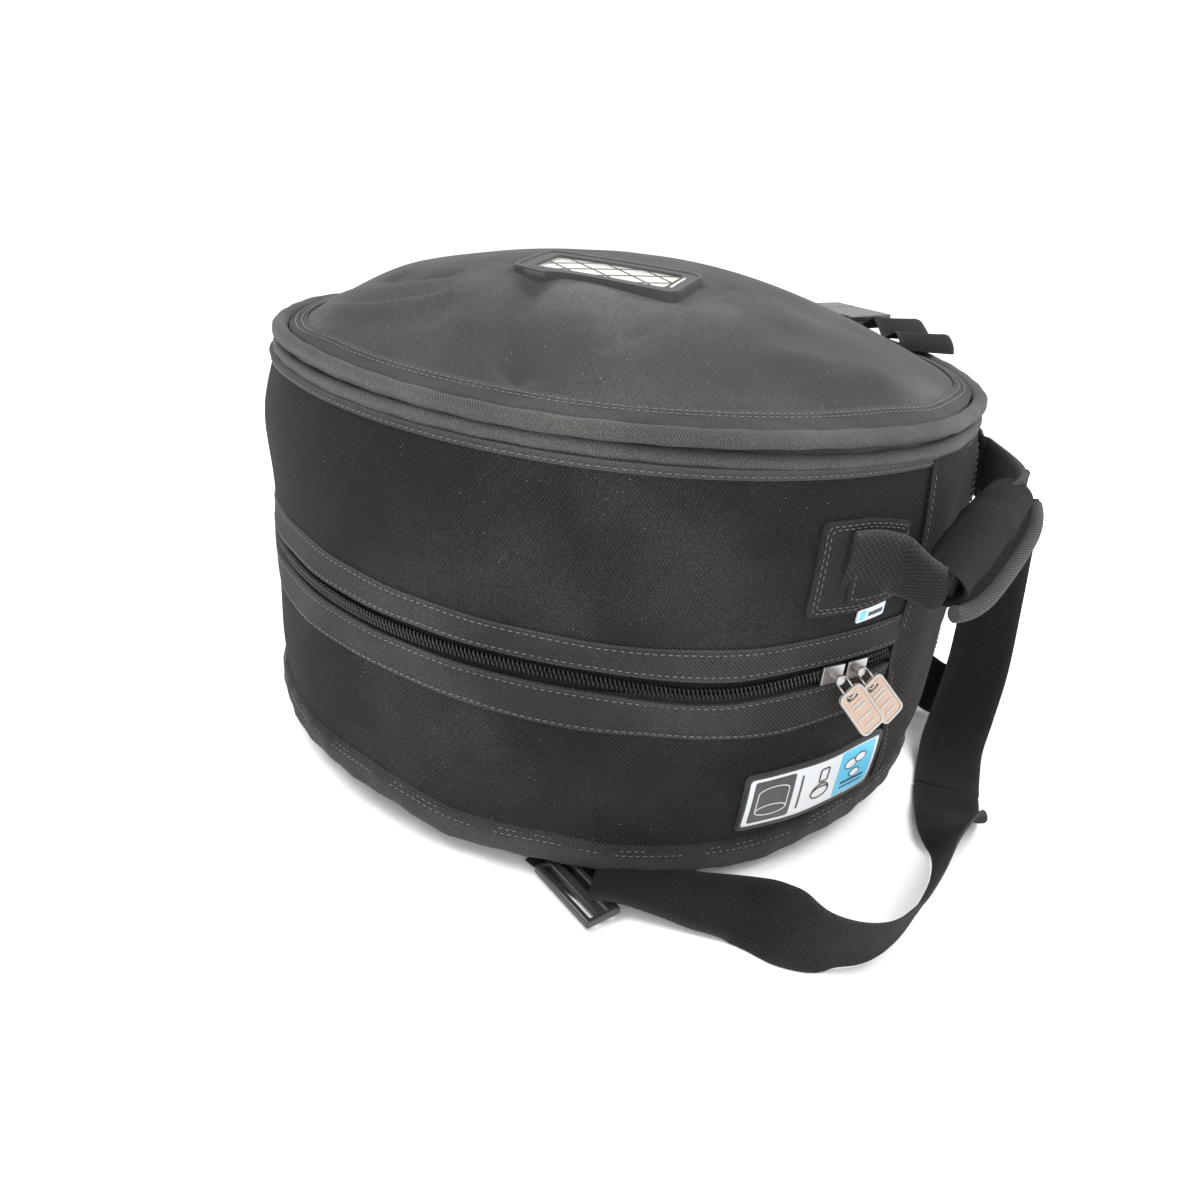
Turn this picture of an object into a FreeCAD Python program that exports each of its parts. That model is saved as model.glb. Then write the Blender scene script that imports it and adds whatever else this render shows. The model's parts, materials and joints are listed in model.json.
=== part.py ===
"""Soft case for a 14 by 6 1/2 inch snare drum, lying on its lid.

The frame is +Z up, millimetres, origin on the floor under the middle of the lid. The hinge
panel and the handle are on the +X side and azimuths are degrees about +Z, measured from +X.
"""
import FreeCAD
import Part
import Sketcher
import math
import os

Vector = FreeCAD.Vector
Z_AXIS = Vector(0, 0, 1)

document = FreeCAD.newDocument("snare_case")
sheet = document.addObject("Spreadsheet::Sheet", "Sizes")

DRIVING_SIZES = {
    # shells and their layers
    "bag_radius": 205.0,
    "fabric_gauge": 1.2,
    "foam_gauge": 9.0,
    "lining_gauge": 0.8,
    "layer_gap": 0.2,
    "body_gap": 0.3,
    "foot_radius": 150.0,
    "lid_edge_rise": 12.0,
    "wall_top": 216.0,
    # rims
    "piping_radius": 4.0,
    "rim_strip_width": 23.0,
    "binding_width": 18.0,
    "binding_bulge": 3.5,
    # strap pocket on the upper face
    "pocket_radius": 175.0,
    "pocket_rise": 42.0,
    # zip
    "zip_height": 117.0,
    "zip_margin": 13.0,
    "coil_radius": 1.5,
    "coil_split": 1.2,
    "tape_gauge": 0.8,
    "facing_gauge": 1.0,
    "facing_width": 19.0,
    "zip_end_angle": 17.5,
    # hinge panel
    "panel_half_angle": 12.5,
    "panel_lean": 16.0,
    "panel_gauge": 1.2,
    # sliders and pulls
    "slider_length": 13.0,
    "slider_width": 9.6,
    "slider_plate": 1.4,
    "slider_web": 0.6,
    "slider_angle": -25.2,
    "slider_pitch": 4.2,
    "slider_post": 1.3,
    "pull_length": 29.0,
    "pull_width": 14.0,
    "pull_gauge": 1.6,
    "pull_angle": 38.0,
    # label on the lid wall
    "label_length": 88.0,
    "label_width": 38.0,
    "label_height": 45.0,
    "label_angle": -21.0,
    "label_border": 2.5,
    # name card window on the pocket
    "card_frame_length": 77.0,
    "card_frame_width": 42.0,
    "card_border": 8.0,
    "card_gauge": 2.0,
    "card_distance": 63.0,
    "card_angle": -74.0,
    "card_turn": 13.0,
    # carrying handle
    "handle_centre_height": 177.0,
    "handle_span": 116.0,
    "handle_tilt": 20.0,
    "anchor_front_height": 171.0,
    "anchor_rear_height": 185.0,
    "handle_reach": 26.0,
    "grip_radius": 15.5,
    "grip_length": 76.0,
    "grip_piping_radius": 4.5,
    "neck_width": 26.0,
    "neck_gauge": 3.0,
    "anchor_width": 44.0,
    "anchor_length": 46.0,
    "anchor_gauge": 1.4,
    # webbing straps
    "webbing_width": 38.0,
    "webbing_gauge": 1.6,
    "adjuster_gauge": 4.4,
    # side release buckle on the top strap
    "buckle_width": 46.0,
    "buckle_length": 30.0,
    "buckle_height": 9.0,
    "buckle_wall": 1.8,
    "prong_clearance": 1.4,
}


class Size:
    """A sheet value or a sum worked out from sheet values, with its spreadsheet formula."""

    def __init__(self, value, formula):
        self.value = float(value)
        self.formula = formula

    @staticmethod
    def of(other):
        """Take a plain number as a size."""
        return other if isinstance(other, Size) else Size(other, "({:.6f})".format(float(other)))

    def _with(self, other, sign, value):
        return Size(value, "({} {} {})".format(self.formula, sign, Size.of(other).formula))

    def __add__(self, other):
        return self._with(other, "+", self.value + Size.of(other).value)

    def __sub__(self, other):
        return self._with(other, "-", self.value - Size.of(other).value)

    def __mul__(self, other):
        return self._with(other, "*", self.value * Size.of(other).value)

    def __truediv__(self, other):
        return self._with(other, "/", self.value / Size.of(other).value)

    def __neg__(self):
        return Size(-self.value, "(0 - {})".format(self.formula))


def fill_sheet():
    """Write the driving sizes to the sheet and return them as sizes by name."""
    named = {}
    for row, (name, value) in enumerate(DRIVING_SIZES.items(), start=1):
        sheet.set("A{}".format(row), name)
        sheet.set("B{}".format(row), str(value))
        sheet.setAlias("B{}".format(row), name)
    document.recompute()
    for name in DRIVING_SIZES:
        named[name] = Size(getattr(sheet, name), "Sizes.{}".format(name))
    return named


S = fill_sheet()
NODES = []


def keep(item, label):
    """Name an object after its node and list it for export."""
    item.Label = label
    NODES.append(item)
    return item


def bind(item, values):
    """Tie properties of an object to sizes."""
    for name, size in values.items():
        size = Size.of(size)
        setattr(item, name, size.value)
        item.setExpression(name, size.formula)


def origin_plane(body, role):
    """Find one of a body's own origin planes."""
    return next(feature for feature in body.Origin.OriginFeatures if feature.Role == role)


def revolved(label, outline, low_angle=0.0, high_angle=360.0):
    """Turn a closed outline of (radius, height) sizes about the case's axis."""
    body = document.addObject("PartDesign::Body", label)
    sketch = body.newObject("Sketcher::SketchObject", label + "_outline")
    sketch.AttachmentSupport = (origin_plane(body, "XZ_Plane"), [""])
    sketch.MapMode = "FlatFace"
    points = [(Size.of(radius), Size.of(height)) for radius, height in outline]
    count = len(points)
    for index in range(count):
        start = points[index]
        end = points[(index + 1) % count]
        sketch.addGeometry(Part.LineSegment(Vector(start[0].value, start[1].value, 0),
                                            Vector(end[0].value, end[1].value, 0)), False)
    for index in range(count):
        follower = (index + 1) % count
        sketch.addConstraint(Sketcher.Constraint("Coincident", index, 2, follower, 1))
    for index, (radius, height) in enumerate(points):
        for axis, size in (("DistanceX", radius), ("DistanceY", height)):
            number = sketch.addConstraint(
                Sketcher.Constraint(axis, -1, 1, index, 1, size.value))
            name = "{}_{}".format(axis, index)
            sketch.renameConstraint(number, name)
            sketch.setExpression("Constraints." + name, size.formula)
    turn = body.newObject("PartDesign::Revolution", label + "_turn")
    turn.Profile = sketch
    turn.ReferenceAxis = (sketch, ["V_Axis"])
    span = Size.of(high_angle) - low_angle
    turn.Angle = span.value
    if span.value < 359.9:
        turn.setExpression("Angle", span.formula)
        turn.Midplane = True
        middle = (Size.of(high_angle).value + Size.of(low_angle).value) / 2
        body.Placement = FreeCAD.Placement(Vector(), FreeCAD.Rotation(Z_AXIS, middle))
    return keep(body, label)


def ring(label, inner, outer, low, high, low_angle=0.0, high_angle=360.0):
    """Make a hoop of rectangular section, whole or between two azimuths."""
    outline = [(inner, low), (outer, low), (outer, high), (inner, high)]
    return revolved(label, outline, low_angle, high_angle)


def disc(label, outer, low, high):
    """Make a round plate about the case's axis."""
    plate = document.addObject("Part::Cylinder", label)
    bind(plate, {"Radius": outer, "Height": Size.of(high) - low})
    plate.Placement.Base = Vector(0, 0, Size.of(low).value)
    plate.setExpression("Placement.Base.z", Size.of(low).formula)
    return keep(plate, label)


def hoop(label, radius, height, section, low_angle=0.0, high_angle=360.0):
    """Make a round cord round the case, whole or between two azimuths."""
    torus = document.addObject("Part::Torus", label)
    span = Size.of(high_angle) - low_angle
    bind(torus, {"Radius1": radius, "Radius2": section, "Angle3": span})
    torus.Placement = FreeCAD.Placement(Vector(0, 0, Size.of(height).value),
                                        FreeCAD.Rotation(Z_AXIS, Size.of(low_angle).value))
    torus.setExpression("Placement.Base.z", Size.of(height).formula)
    return keep(torus, label)


def wall_frame(azimuth, radius, height, turn=0.0):
    """Give the placement of a point on the wall: local X outward, Y sideways, Z up."""
    azimuth, radius, height = (Size.of(item).value for item in (azimuth, radius, height))
    across = FreeCAD.Rotation(Z_AXIS, azimuth)
    place = FreeCAD.Placement(across.multVec(Vector(radius, 0, height)), across)
    return place.multiply(FreeCAD.Placement(Vector(), FreeCAD.Rotation(Vector(1, 0, 0), turn)))


def block(name, length, width, height, place, centre=(0.0, 0.5, 0.5)):
    """Make a box whose sides are bound to sizes, set in a local frame."""
    sides = [Size.of(item) for item in (length, width, height)]
    box = document.addObject("Part::Box", name)
    bind(box, {"Length": sides[0], "Width": sides[1], "Height": sides[2]})
    shift = Vector(*(-share * side.value for share, side in zip(centre, sides)))
    box.Placement = place.multiply(FreeCAD.Placement(shift, FreeCAD.Rotation()))
    return box


def shifted(place, along, sideways, up):
    """Move a local frame along its own axes."""
    offset = Vector(*(Size.of(item).value for item in (along, sideways, up)))
    return place.multiply(FreeCAD.Placement(offset, FreeCAD.Rotation()))


def fused(label, pieces):
    """Join overlapping pieces into one solid."""
    union = document.addObject("Part::MultiFuse", label)
    union.Shapes = pieces
    return keep(union, label)


def cut(label, base, tool, kept=True):
    """Take one shape out of another."""
    result = document.addObject("Part::Cut", label)
    result.Base = base
    result.Tool = tool
    return keep(result, label) if kept else result


def common(label, base, tool, kept=True):
    """Keep what two shapes share."""
    result = document.addObject("Part::Common", label)
    result.Base = base
    result.Tool = tool
    return keep(result, label) if kept else result


def hollow_cylinder(name, inner, outer, low, high):
    """Make an unlisted tube about the case's axis."""
    tubes = []
    for part, radius in (("outer", outer), ("inner", inner)):
        tube = document.addObject("Part::Cylinder", "{}_{}".format(name, part))
        bind(tube, {"Radius": radius, "Height": Size.of(high) - low})
        tube.Placement.Base = Vector(0, 0, Size.of(low).value)
        tubes.append(tube)
    return cut(name, tubes[0], tubes[1], kept=False)


def smooth_stations(stations, steps):
    """Run a smooth curve through hand-chosen stations of a point and a width direction."""
    smooth = []
    rows = [[Vector(*point), Vector(*side)] for point, side in stations]
    rows = [rows[0]] + rows + [rows[-1]]
    for index in range(1, len(rows) - 2):
        for step in range(steps):
            s = step / steps
            weights = (-s ** 3 + 2 * s ** 2 - s, 3 * s ** 3 - 5 * s ** 2 + 2,
                       -3 * s ** 3 + 4 * s ** 2 + s, s ** 3 - s ** 2)
            pair = []
            for part in (0, 1):
                total = Vector()
                for offset, weight in zip((-1, 0, 1, 2), weights):
                    total = total + rows[index + offset][part] * (weight / 2)
                pair.append(total)
            smooth.append(pair)
    smooth.append(rows[-1])
    return smooth


def ribbon_corners(stations):
    """Work out the four corners of the webbing's section at each station."""
    half_width = S["webbing_width"].value / 2
    half_gauge = S["webbing_gauge"].value / 2
    corners = []
    for index, (point, side) in enumerate(stations):
        ahead = stations[min(index + 1, len(stations) - 1)][0]
        behind = stations[max(index - 1, 0)][0]
        along = (ahead - behind).normalize()
        side = (side - along * side.dot(along)).normalize()
        normal = along.cross(side)
        corners.append([point + side * (half_width * a) + normal * (half_gauge * b)
                        for a, b in ((-1, -1), (1, -1), (1, 1), (-1, 1))])
    return corners


def ribbon(label, stations, steps=5):
    """Make a length of webbing through stations, as one closed solid of flat facets."""
    corners = ribbon_corners(smooth_stations(stations, steps))
    faces = []

    def facet(*points):
        faces.append(Part.Face(Part.makePolygon(list(points) + [points[0]])))

    for near, far in zip(corners, corners[1:]):
        for index in range(4):
            other = (index + 1) % 4
            facet(near[index], near[other], far[other])
            facet(near[index], far[other], far[index])
    for end in (corners[0], corners[-1]):
        facet(end[0], end[1], end[2])
        facet(end[0], end[2], end[3])
    solid = Part.Solid(Part.Shell(faces))
    if solid.Volume < 0:
        solid.reverse()
    feature = document.addObject("Part::Feature", label)
    feature.Shape = solid
    return keep(feature, label)


# ---------------------------------------------------------------- shared levels and radii
GAP = S["layer_gap"]
FABRIC_IN = S["bag_radius"] - S["fabric_gauge"]
FOAM_OUT = FABRIC_IN - GAP
FOAM_IN = FOAM_OUT - S["foam_gauge"]
LINING_OUT = FOAM_IN - GAP
LINING_IN = LINING_OUT - S["lining_gauge"]
SKIN_OUT = S["bag_radius"] + GAP
ZIP = S["zip_height"]
LID_WALL_TOP = ZIP - S["zip_margin"]
BASE_WALL_LOW = ZIP + S["zip_margin"]
PANEL_EDGE = S["panel_half_angle"] + 0.3
PIPING_RADIUS = S["piping_radius"]
PIPING_CENTRE = S["bag_radius"] - PIPING_RADIUS * 0.4
UPPER_FACE_OUT = PIPING_CENTRE - PIPING_RADIUS - GAP
LOWER_PIPING = S["wall_top"] + PIPING_RADIUS + GAP
UPPER_PIPING = LOWER_PIPING + PIPING_RADIUS * 2 + GAP * 2
PANEL_LOW = S["wall_top"] + 3
PANEL_TOP = PANEL_LOW + S["foam_gauge"]
POCKET_FLOOR = PANEL_TOP + GAP + S["fabric_gauge"] + GAP
HINGE_X = S["bag_radius"] + GAP + S["panel_gauge"] + 1.1


def lid_layers():
    """Make the lid's wall and its dished end panel, each in fabric, foam and lining."""
    rise = S["lid_edge_rise"]
    foot = S["foot_radius"]
    fabric = S["fabric_gauge"]
    foam = S["foam_gauge"]
    slope = rise / (FOAM_OUT - foot)

    def dished(label, low, gauge, radius):
        climb = slope * (radius - foot)
        revolved(label, [(0, low), (foot, low), (radius, low + climb),
                         (radius, low + climb + gauge), (foot, low + gauge), (0, low + gauge)])

    dished("lid_panel_fabric", Size.of(0), fabric, FOAM_OUT)
    dished("lid_panel_foam", fabric + GAP, foam, FOAM_OUT)
    dished("lid_panel_lining", fabric + foam + GAP * 2, S["lining_gauge"], LINING_IN - GAP)
    foam_low = rise + fabric + foam + GAP * 2
    ring("lid_wall_fabric", FABRIC_IN, S["bag_radius"], rise, LID_WALL_TOP)
    ring("lid_wall_foam", FOAM_IN, FOAM_OUT, foam_low, LID_WALL_TOP)
    ring("lid_wall_lining", LINING_IN, LINING_OUT, foam_low, LID_WALL_TOP)
    bulge = S["binding_bulge"]
    low = rise - 5
    high = low + S["binding_width"]
    revolved("lid_rim_binding", [
        (SKIN_OUT, low), (SKIN_OUT + bulge * 0.8, low + 1.5), (SKIN_OUT + bulge, low + 5),
        (SKIN_OUT + bulge * 0.8, high - 4), (SKIN_OUT + bulge * 0.3, high), (SKIN_OUT, high)])


def base_layers():
    """Make the upper shell's wall and end panel, with the piped rim."""
    top = S["wall_top"]
    ring("base_wall_fabric", FABRIC_IN, S["bag_radius"], BASE_WALL_LOW, top)
    ring("base_wall_foam", FOAM_IN, FOAM_OUT, BASE_WALL_LOW, top - GAP)
    ring("base_wall_lining", LINING_IN, LINING_OUT, BASE_WALL_LOW, top - GAP)
    disc("base_panel_lining", LINING_IN - GAP, PANEL_LOW - GAP - S["lining_gauge"],
         PANEL_LOW - GAP)
    disc("base_panel_foam", UPPER_FACE_OUT, PANEL_LOW, PANEL_TOP)
    disc("base_panel_fabric", UPPER_FACE_OUT, PANEL_TOP + GAP,
         PANEL_TOP + GAP + S["fabric_gauge"])
    hoop("rim_piping_lower", PIPING_CENTRE, LOWER_PIPING, PIPING_RADIUS)
    hoop("rim_piping_upper", PIPING_CENTRE, UPPER_PIPING, PIPING_RADIUS)
    strip_in = UPPER_FACE_OUT - S["rim_strip_width"]
    ring("rim_strip", strip_in, UPPER_FACE_OUT, POCKET_FLOOR,
         POCKET_FLOOR + S["fabric_gauge"])


def pocket_ball(name, shrink):
    """Make the ball whose cap is the pocket's domed cover, smaller by a named depth."""
    radius = S["pocket_radius"]
    rise = S["pocket_rise"]
    ball_radius = (radius * radius + rise * rise) / (rise * 2)
    ball = document.addObject("Part::Sphere", name)
    bind(ball, {"Radius": ball_radius - shrink})
    centre = POCKET_FLOOR + rise - ball_radius
    ball.Placement.Base = Vector(0, 0, centre.value)
    ball.setExpression("Placement.Base.z", centre.formula)
    return ball


def pocket_drum(name, radius, low):
    """Make the upright cylinder that trims the pocket's cap."""
    drum = document.addObject("Part::Cylinder", name)
    bind(drum, {"Radius": radius, "Height": S["pocket_rise"] + 20})
    drum.Placement.Base = Vector(0, 0, Size.of(low).value)
    drum.setExpression("Placement.Base.z", Size.of(low).formula)
    return drum


def strap_pocket():
    """Make the domed pocket cover, what is stowed under it and the card window on it."""
    fabric = S["fabric_gauge"]
    outer_cap = common("pocket_outer_cap", pocket_ball("pocket_outer_ball", Size.of(0)),
                       pocket_drum("pocket_outer_drum", S["pocket_radius"], POCKET_FLOOR),
                       kept=False)
    cut("pocket_cover", outer_cap, pocket_ball("pocket_inner_ball", fabric))
    common("stowed_harness", pocket_ball("harness_ball", fabric + GAP * 2),
           pocket_drum("harness_drum", S["pocket_radius"] * 0.78, POCKET_FLOOR))


def card_window():
    """Make the rubber frame, the pale card and its clear window, bowed over the pocket."""
    frame = wall_frame(S["card_angle"], S["card_distance"], POCKET_FLOOR + 20)
    turn = FreeCAD.Rotation(Z_AXIS, S["card_turn"].value - S["card_angle"].value)
    frame = frame.multiply(FreeCAD.Placement(Vector(), turn))
    border = S["card_border"]

    def bowed(label, low, high, trim, kept=True):
        outer = pocket_ball(label + "_outer", -high)
        inner = pocket_ball(label + "_inner", -low)
        shell = cut(label + "_shell", outer, inner, kept=False)
        prism = block(label + "_prism", S["card_frame_length"] - trim,
                      S["card_frame_width"] - trim, 60, frame, (0.5, 0.5, 0.3))
        return common(label, shell, prism, kept)

    plate = bowed("card_plate", GAP, GAP + S["card_gauge"], Size.of(0), kept=False)
    opening = block("card_opening", S["card_frame_length"] - border * 2,
                    S["card_frame_width"] - border * 2, 60, frame, (0.5, 0.5, 0.3))
    cut("card_frame", plate, opening)
    bowed("name_card", GAP, GAP + 0.6, border * 2 + GAP * 2)
    bowed("card_window", GAP * 2 + 0.6, S["card_gauge"] - 0.3, border * 2 + GAP * 2)


def zip_half(label, side, facing, low_angle, high_angle, lean_room=0.0):
    """Make one half of the zip: its tape, its coil and, where asked, its facing.

    side is 1 for the half above the split and -1 for the half below it.
    """
    near = ZIP + S["coil_split"] / 2 * side
    coil_line = near + S["coil_radius"] * side
    wall = ZIP + (S["zip_margin"] - GAP) * side
    radius = S["bag_radius"]
    tape_in = radius - S["coil_radius"] - GAP * 2
    low, high = sorted((near, wall), key=lambda level: level.value)
    ring(label + "_tape", tape_in, tape_in + S["tape_gauge"], low, high,
         low_angle, high_angle)
    coil_radius = tape_in + S["tape_gauge"] + 0.1 + S["coil_radius"]
    hoop(label + "_coil", coil_radius, coil_line, S["coil_radius"], low_angle, high_angle)
    if facing:
        edge = ZIP + S["zip_margin"] * side
        inner_edge = edge - (S["facing_width"] - 10) * side * -1
        outer_edge = edge - 7 * side
        low, high = sorted((outer_edge, inner_edge), key=lambda level: level.value)
        ring(label + "_facing", SKIN_OUT, SKIN_OUT + S["facing_gauge"], low, high,
             PANEL_EDGE + lean_room, Size.of(360) - PANEL_EDGE)


def zip_chain():
    """Make both halves of the zip and the upper half's fixed end beside the hinge panel."""
    end = Size.of(360) - PANEL_EDGE
    free_end = end - S["zip_end_angle"]
    lean_room = S["panel_lean"] * 0.15
    zip_half("lid_zip", -1, True, PANEL_EDGE + lean_room, end, lean_room)
    zip_half("base_zip", 1, True, PANEL_EDGE, free_end - 0.2)
    zip_half("zip_end", 1, False, free_end, end)


def hinge_panels():
    """Make the hinge panel in two halves that meet at the fold line, the lid's half leaning."""
    outer = SKIN_OUT + S["panel_gauge"]
    half_split = S["body_gap"] / 2
    ring("hinge_panel_base", SKIN_OUT, outer, ZIP + half_split, S["wall_top"],
         -S["panel_half_angle"], S["panel_half_angle"])
    low = S["lid_edge_rise"] - 5 + S["binding_width"] + GAP
    sleeve = hollow_cylinder("hinge_sleeve", SKIN_OUT, outer, low, ZIP - half_split)
    angle = math.radians(S["panel_half_angle"].value)
    lean = math.radians(S["panel_lean"].value)
    width = Size.of(2 * math.sin(angle) * math.cos(lean)) * S["bag_radius"]
    place = FreeCAD.Placement(Vector(0, 0, ZIP.value),
                              FreeCAD.Rotation(Vector(1, 0, 0), S["panel_lean"].value))
    leaning = block("hinge_lean", outer * 1.2, width, 160, place, (0.0, 0.5, 0.85))
    common("hinge_panel_lid", sleeve, leaning)


def lid_label():
    """Make the label's rubber backing and its printed face on the lid wall."""
    radius = SKIN_OUT
    border = S["label_border"]
    degrees = 180 / math.pi

    def plate(label, inner, gauge, trim):
        span = (S["label_length"] - trim * 2) / radius * degrees
        half_width = S["label_width"] / 2 - trim
        ring(label, inner, inner + gauge, S["label_height"] - half_width,
             S["label_height"] + half_width, S["label_angle"] - span / 2,
             S["label_angle"] + span / 2)

    plate("label_backing", radius, 1.2, Size.of(0))
    plate("label_face", radius + 1.2 + 0.1, 0.4, border)


def side_tab():
    """Make the small folded tab sewn under the handle's near anchor."""
    low = S["anchor_front_height"] - S["anchor_width"] / 2 - GAP * 2
    place = wall_frame(-22.6, SKIN_OUT + 0.1, low)
    keep(block("side_tab", 1.2, 17, 7.4, place, (0.0, 0.5, 1.0)), "side_tab")


def post(name, radius, length, place):
    """Make a round post that stands out from the wall along a frame's local X."""
    rod = document.addObject("Part::Cylinder", name)
    bind(rod, {"Radius": radius, "Height": length})
    rod.Placement = place.multiply(
        FreeCAD.Placement(Vector(), FreeCAD.Rotation(Vector(0, 1, 0), 90)))
    return rod


SLIDER_FACE = S["bag_radius"] + S["coil_radius"] * 2 - 0.3 + S["slider_plate"]
PULL_NECK = S["slider_post"] * 2 + 6
PULL_STEP = S["pull_gauge"] + S["body_gap"] * 2


def slider(label, azimuth, post_length):
    """Make one zip slider: two plates joined by a web between the coils, and a pull post."""
    plate = S["slider_plate"]
    length = S["slider_length"]
    width = S["slider_width"]
    inner_face = S["bag_radius"] - S["coil_radius"] - GAP * 2 - 0.6
    place = wall_frame(azimuth, 0, ZIP)
    outer_plate = block(label + "_outer_plate", plate, length, width,
                        shifted(place, SLIDER_FACE - plate, 0, 0))
    inner_plate = block(label + "_inner_plate", plate, length, width,
                        shifted(place, inner_face - plate, 0, 0))
    web = block(label + "_web", SLIDER_FACE - inner_face - 0.4, 3.2, S["slider_web"],
                shifted(place, inner_face - 0.5, 0, 0))
    stem = post(label + "_post", S["slider_post"], post_length + 0.5,
                shifted(place, SLIDER_FACE - 0.5, 0, 0))
    head = post(label + "_head", S["slider_post"] * 2, 1.2,
                shifted(place, SLIDER_FACE + post_length - 0.2, 0, 0))
    return fused(label, [outer_plate, inner_plate, web, stem, head])


def pull(label, azimuth, stand_off):
    """Make a pull: an eye round the slider's post, two bail wires and a tab with a window."""
    gauge = S["pull_gauge"]
    width = S["pull_width"]
    place = wall_frame(azimuth, SLIDER_FACE + stand_off, ZIP, S["pull_angle"].value)
    rim = post(label + "_eye", S["slider_post"] * 2 + 0.2, gauge, place)
    bore = post(label + "_bore", S["slider_post"] + S["body_gap"], gauge * 3,
                shifted(place, -gauge, 0, 0))
    # local -Z runs down the tab from the eye
    strips = []
    for sign in (-1, 1):
        strips.append(block("{}_wire_{}".format(label, sign + 1), gauge, 1.2, PULL_NECK,
                            shifted(place, 0, sign * 2.0, -1.0), (0.0, 0.5, 1.0)))
    tab_place = shifted(place, 0, 0, -PULL_NECK + 1.0)
    tab = block(label + "_tab", gauge, width, S["pull_length"], tab_place, (0.0, 0.5, 1.0))
    whole = document.addObject("Part::MultiFuse", label + "_blank")
    whole.Shapes = [rim] + strips + [tab]
    slot_place = shifted(tab_place, -gauge, 0, -S["pull_length"] * 0.14)
    slot = block(label + "_slot", gauge * 3, width * 0.5, S["pull_length"] * 0.16,
                 slot_place, (0.0, 0.5, 1.0))
    pierced = cut(label + "_pierced", whole, slot, kept=False)
    return cut(label, pierced, bore)


def sliders():
    """Make both sliders, parked nose to tail beside the hinge panel, and their pulls."""
    first = S["slider_angle"]
    second = first + S["slider_pitch"]
    low = S["body_gap"] * 2
    high = low + PULL_STEP
    slider("slider_travelling", first, high + S["pull_gauge"] + S["body_gap"])
    slider("slider_parked", second, low + S["pull_gauge"] + S["body_gap"])
    pull("pull_travelling", first, high)
    pull("pull_parked", second, low)


def handle_frame():
    """Give the frame of the handle: local Y along its span, X outward, origin on its axis."""
    place = FreeCAD.Placement(Vector(HANDLE_AXIS_X.value, 0, S["handle_centre_height"].value),
                              FreeCAD.Rotation(Vector(1, 0, 0), S["handle_tilt"].value))
    return place


HANDLE_AXIS_X = S["bag_radius"] - 2.0


def handle():
    """Make the webbing strap, the padded wrap round it and the wrap's piped edge."""
    place = handle_frame()
    half_span = S["handle_span"] / 2
    reach = S["handle_reach"]
    half_grip = S["grip_length"] / 2
    gauge = S["neck_gauge"]
    neck_run = half_span - half_grip - 2.5
    core = block("handle_core", gauge, S["grip_length"] + 6, S["neck_width"],
                 shifted(place, reach, 0, 0), (0.5, 0.5, 0.5))
    lean = math.degrees(math.atan2(reach.value, neck_run.value))
    neck_length = math.hypot(reach.value, neck_run.value)
    necks = [core]
    for sign in (-1, 1):
        end = shifted(place, 0, half_span * sign, 0)
        end = end.multiply(FreeCAD.Placement(Vector(), FreeCAD.Rotation(Z_AXIS, lean * sign)))
        start = (0.5, 1.0, 0.5) if sign > 0 else (0.5, 0.0, 0.5)
        necks.append(block("handle_neck_{}".format(sign + 1), gauge, neck_length,
                           S["neck_width"], end, start))
    fused("handle_webbing", necks)
    grip_place = shifted(place, reach, -half_grip, 0)
    upright = FreeCAD.Placement(Vector(), FreeCAD.Rotation(Vector(1, 0, 0), -90))
    wrap = document.addObject("Part::Cylinder", "grip_wrap")
    bind(wrap, {"Radius": S["grip_radius"], "Height": S["grip_length"]})
    wrap.Placement = grip_place.multiply(upright)
    slit = block("grip_slit", gauge + 0.6, S["grip_length"] + 20, S["neck_width"] + 0.6,
                 shifted(place, reach, 0, 0), (0.5, 0.5, 0.5))
    cut("handle_grip", wrap, slit)
    cord = document.addObject("Part::Cylinder", "handle_grip_piping")
    bind(cord, {"Radius": S["grip_piping_radius"], "Height": S["grip_length"] + 18})
    offset = (S["grip_radius"] + S["grip_piping_radius"] + S["body_gap"]) * math.sqrt(0.5)
    cord_place = shifted(grip_place, offset, -9, -offset)
    cord.Placement = cord_place.multiply(upright)
    keep(cord, "handle_grip_piping")


def handle_anchors():
    """Make the sewn webbing patches that carry the handle, each with a stub for its neck."""
    place = handle_frame()
    half_span = S["handle_span"] / 2
    span = S["anchor_length"] / S["bag_radius"] * (180 / math.pi)
    half_width = S["anchor_width"] / 2
    anchors = (("handle_anchor_front", -1, S["anchor_front_height"]),
               ("handle_anchor_rear", 1, S["anchor_rear_height"]))
    for label, sign, middle in anchors:
        end = place.multVec(Vector(0, sign * half_span.value, 0))
        azimuth = math.degrees(math.asin(end.y / S["bag_radius"].value))
        centre = azimuth + sign * (span.value / 2 + 1.0)
        tube = hollow_cylinder(label + "_tube", SKIN_OUT, SKIN_OUT + S["anchor_gauge"],
                               middle - half_width, middle + half_width)
        at = FreeCAD.Placement(Vector(), FreeCAD.Rotation(Z_AXIS, centre))
        window = block(label + "_window", S["bag_radius"] * 1.2, S["anchor_length"], 400,
                       at, (0.0, 0.5, 0.0))
        patch = common(label + "_patch", tube, window, kept=False)
        room = S["body_gap"] + S["neck_gauge"] / 2
        start = (0.75, 0.0, 0.5) if sign > 0 else (0.75, 1.0, 0.5)
        stub = block(label + "_stub", 10, 13, S["neck_width"] + 2,
                     shifted(place, 0, (half_span + room) * sign, 0), start)
        wall = document.addObject("Part::Cylinder", label + "_wall")
        bind(wall, {"Radius": SKIN_OUT + 0.2, "Height": 400})
        trimmed = cut(label + "_trimmed", stub, wall, kept=False)
        fused(label, [patch, trimmed])


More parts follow.
